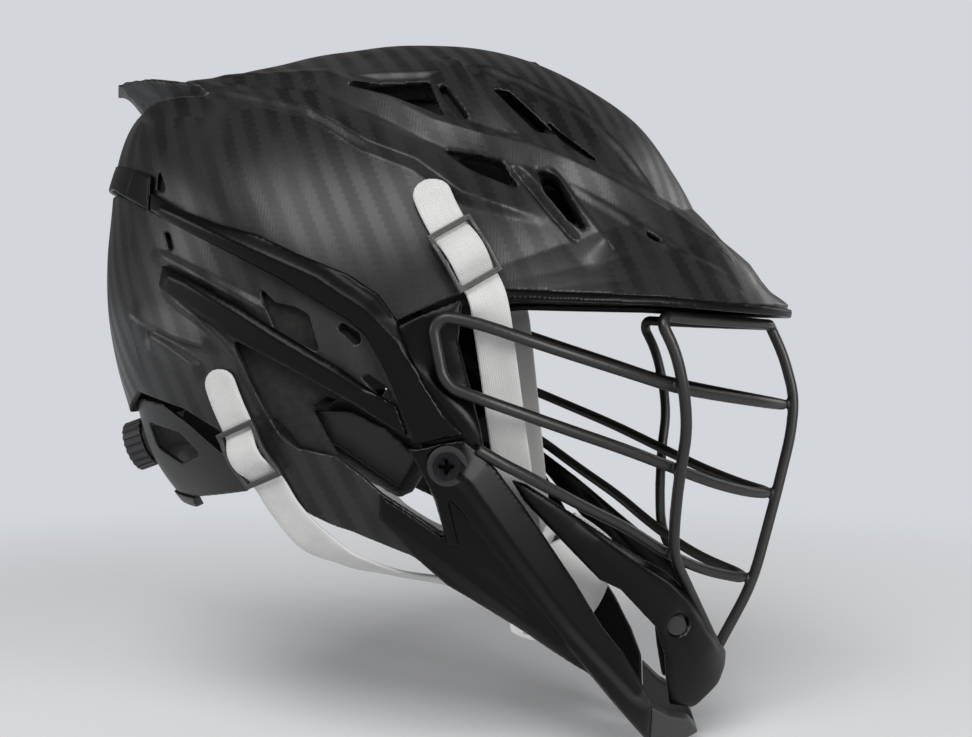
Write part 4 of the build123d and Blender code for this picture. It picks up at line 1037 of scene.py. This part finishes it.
def strap_set(place, span, tail, run_start, run):
    """Both sides' buckles and tails, and the runs from them to the cup."""
    buckle = centre, _, along, out = buckle_frame(*span)
    threaded = [(centre + along * y + out * z, out) for y, z in THREADING]
    beyond = [on_form(y, z, STRAP_LIE + lift) for y, z, lift in tail]
    head = [(centre + along * RUN_HEAD[0] + out * RUN_HEAD[1], out)]
    reach = [on_form(y, z, STRAP_LIE) for y, z in run_start]
    reach += [(Vector(spot), facing) for spot, facing in run]
    for side in SIDES:
        flip = -1 if side == "right" else 1
        ladder_buckle(f"{place}_buckle_{side}", buckle, flip)
        tail_piece = ribbon(f"{place}_tail_{side}_webbing", threaded + beyond, flip, round_end=True)
        dress(tail_piece, [f"{place}_tail_{side}"], WEBBING)
        run_piece = ribbon(f"{place}_strap_{side}_webbing", head + reach, flip)
        dress(run_piece, [f"{place}_strap_{side}"], WEBBING)
        run_piece.parent = None
        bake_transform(run_piece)


strap_set("upper", UPPER_BUCKLE, UPPER_TAIL, UPPER_RUN_START, UPPER_RUN)
strap_set("lower", LOWER_BUCKLE, LOWER_TAIL, LOWER_RUN_START, LOWER_RUN)


# Stage: a pale floor that fades into the background, soft lamps and the camera
FLOOR_GAP = 0.4 * MM
FLOOR_HALF = 12.0
FLOOR_CELLS = 24
FADE_REACHES = (0.25, 0.9)
PALE = "#d3d6da"
DIM = 0.18


def floor():
    """A pale floor that keeps the shadow near the helmet and meets the background further out."""
    bm = bmesh.new()
    bmesh.ops.create_grid(bm, x_segments=FLOOR_CELLS, y_segments=FLOOR_CELLS, size=FLOOR_HALF)
    bmesh.ops.translate(bm, verts=bm.verts, vec=(0, 0, cad_low.z - FLOOR_GAP))
    piece = piece_from(bm, "floor")
    material, tree, shader = new_material("painted_studio_floor")
    place = add_node(tree, "TexCoord").outputs["Object"]
    flat = add_node(tree, "VectorMath", {"operation": "MULTIPLY"}, i0=place, i1=(1, 1, 0))
    reach = add_node(tree, "VectorMath", {"operation": "LENGTH"}, i0=flat.outputs[0])
    far = ranged(tree, reach.outputs["Value"], FADE_REACHES, (0.0, 1.0), smooth=True)
    feed(tree, shader, Base_Color=linear("#e4e5e7"), Roughness=0.85, Specular_IOR_Level=0.2)
    glow = add_node(tree, "Emission", Color=linear(PALE), Strength=1.0)
    mixed = add_node(tree, "MixShader", i0=far, i1=shader.outputs[0], i2=glow.outputs[0])
    output = next(node for node in tree.nodes if node.type == "OUTPUT_MATERIAL")
    feed(tree, output, Surface=mixed.outputs[0])
    piece.data.materials.append(material)


def world():
    """Pale to the eye, and dim as light on the helmet, so that its glossy sides stay black."""
    made = bpy.data.worlds.new("studio")
    bpy.context.scene.world = made
    made.use_nodes = True
    tree = made.node_tree
    tree.nodes.clear()
    path = add_node(tree, "LightPath")
    seen = maths_in(tree)("MAXIMUM", path.outputs["Is Camera Ray"], path.outputs["Is Transmission Ray"])
    light = add_node(tree, "Background", Color=linear("#ffffff"), Strength=DIM)
    pale = add_node(tree, "Background", Color=linear(PALE), Strength=1.0)
    mixed = add_node(tree, "MixShader", i0=seen, i1=light.outputs[0], i2=pale.outputs[0])
    add_node(tree, "OutputWorld", Surface=mixed.outputs[0])


def look_at(piece, spot, aim):
    """Places a lamp or camera and turns it towards a point."""
    piece.location = spot
    piece.rotation_euler = (Vector(aim) - Vector(spot)).to_track_quat("-Z", "Y").to_euler()
    bpy.context.scene.collection.objects.link(piece)


LAMP_AIM = (0.0, 0.0, -0.12)
# Name, place and size in metres, and watts
SOFTBOXES = (
    ("key_softbox", (-1.7, 0.3, 1.5), (1.5, 1.2), 44.0),
    ("front_softbox", (-1.5, -1.6, 0.3), (0.8, 1.0), 34.0),
    ("rear_softbox", (-0.7, 2.1, 0.2), (0.8, 1.2), 14.0),
    ("far_softbox", (1.5, -1.7, 0.6), (1.0, 1.0), 8.0),
)
floor()
world()
for name, spot, size, watts in SOFTBOXES:
    lamp = bpy.data.lights.new(name, "AREA")
    lamp.shape = "RECTANGLE"
    lamp.size, lamp.size_y = size
    lamp.energy = watts
    look_at(bpy.data.objects.new(name, lamp), spot, LAMP_AIM)

# Camera at the photograph's place, with its lens and sensor width in millimetres
LENS = 46.3
SENSOR_WIDTH = 36.0
CAMERA_PLACE = (-0.588, -0.065, -0.104)
CAMERA_AIM = (0.0, -0.0217, -0.1182)
camera_data = bpy.data.cameras.new("camera")
camera_data.sensor_width = SENSOR_WIDTH
camera_data.lens = LENS
camera_data.clip_start = 0.01
camera = bpy.data.objects.new("camera", camera_data)
look_at(camera, CAMERA_PLACE, CAMERA_AIM)
bpy.context.scene.camera = camera
bpy.context.scene.view_settings.view_transform = "Standard"
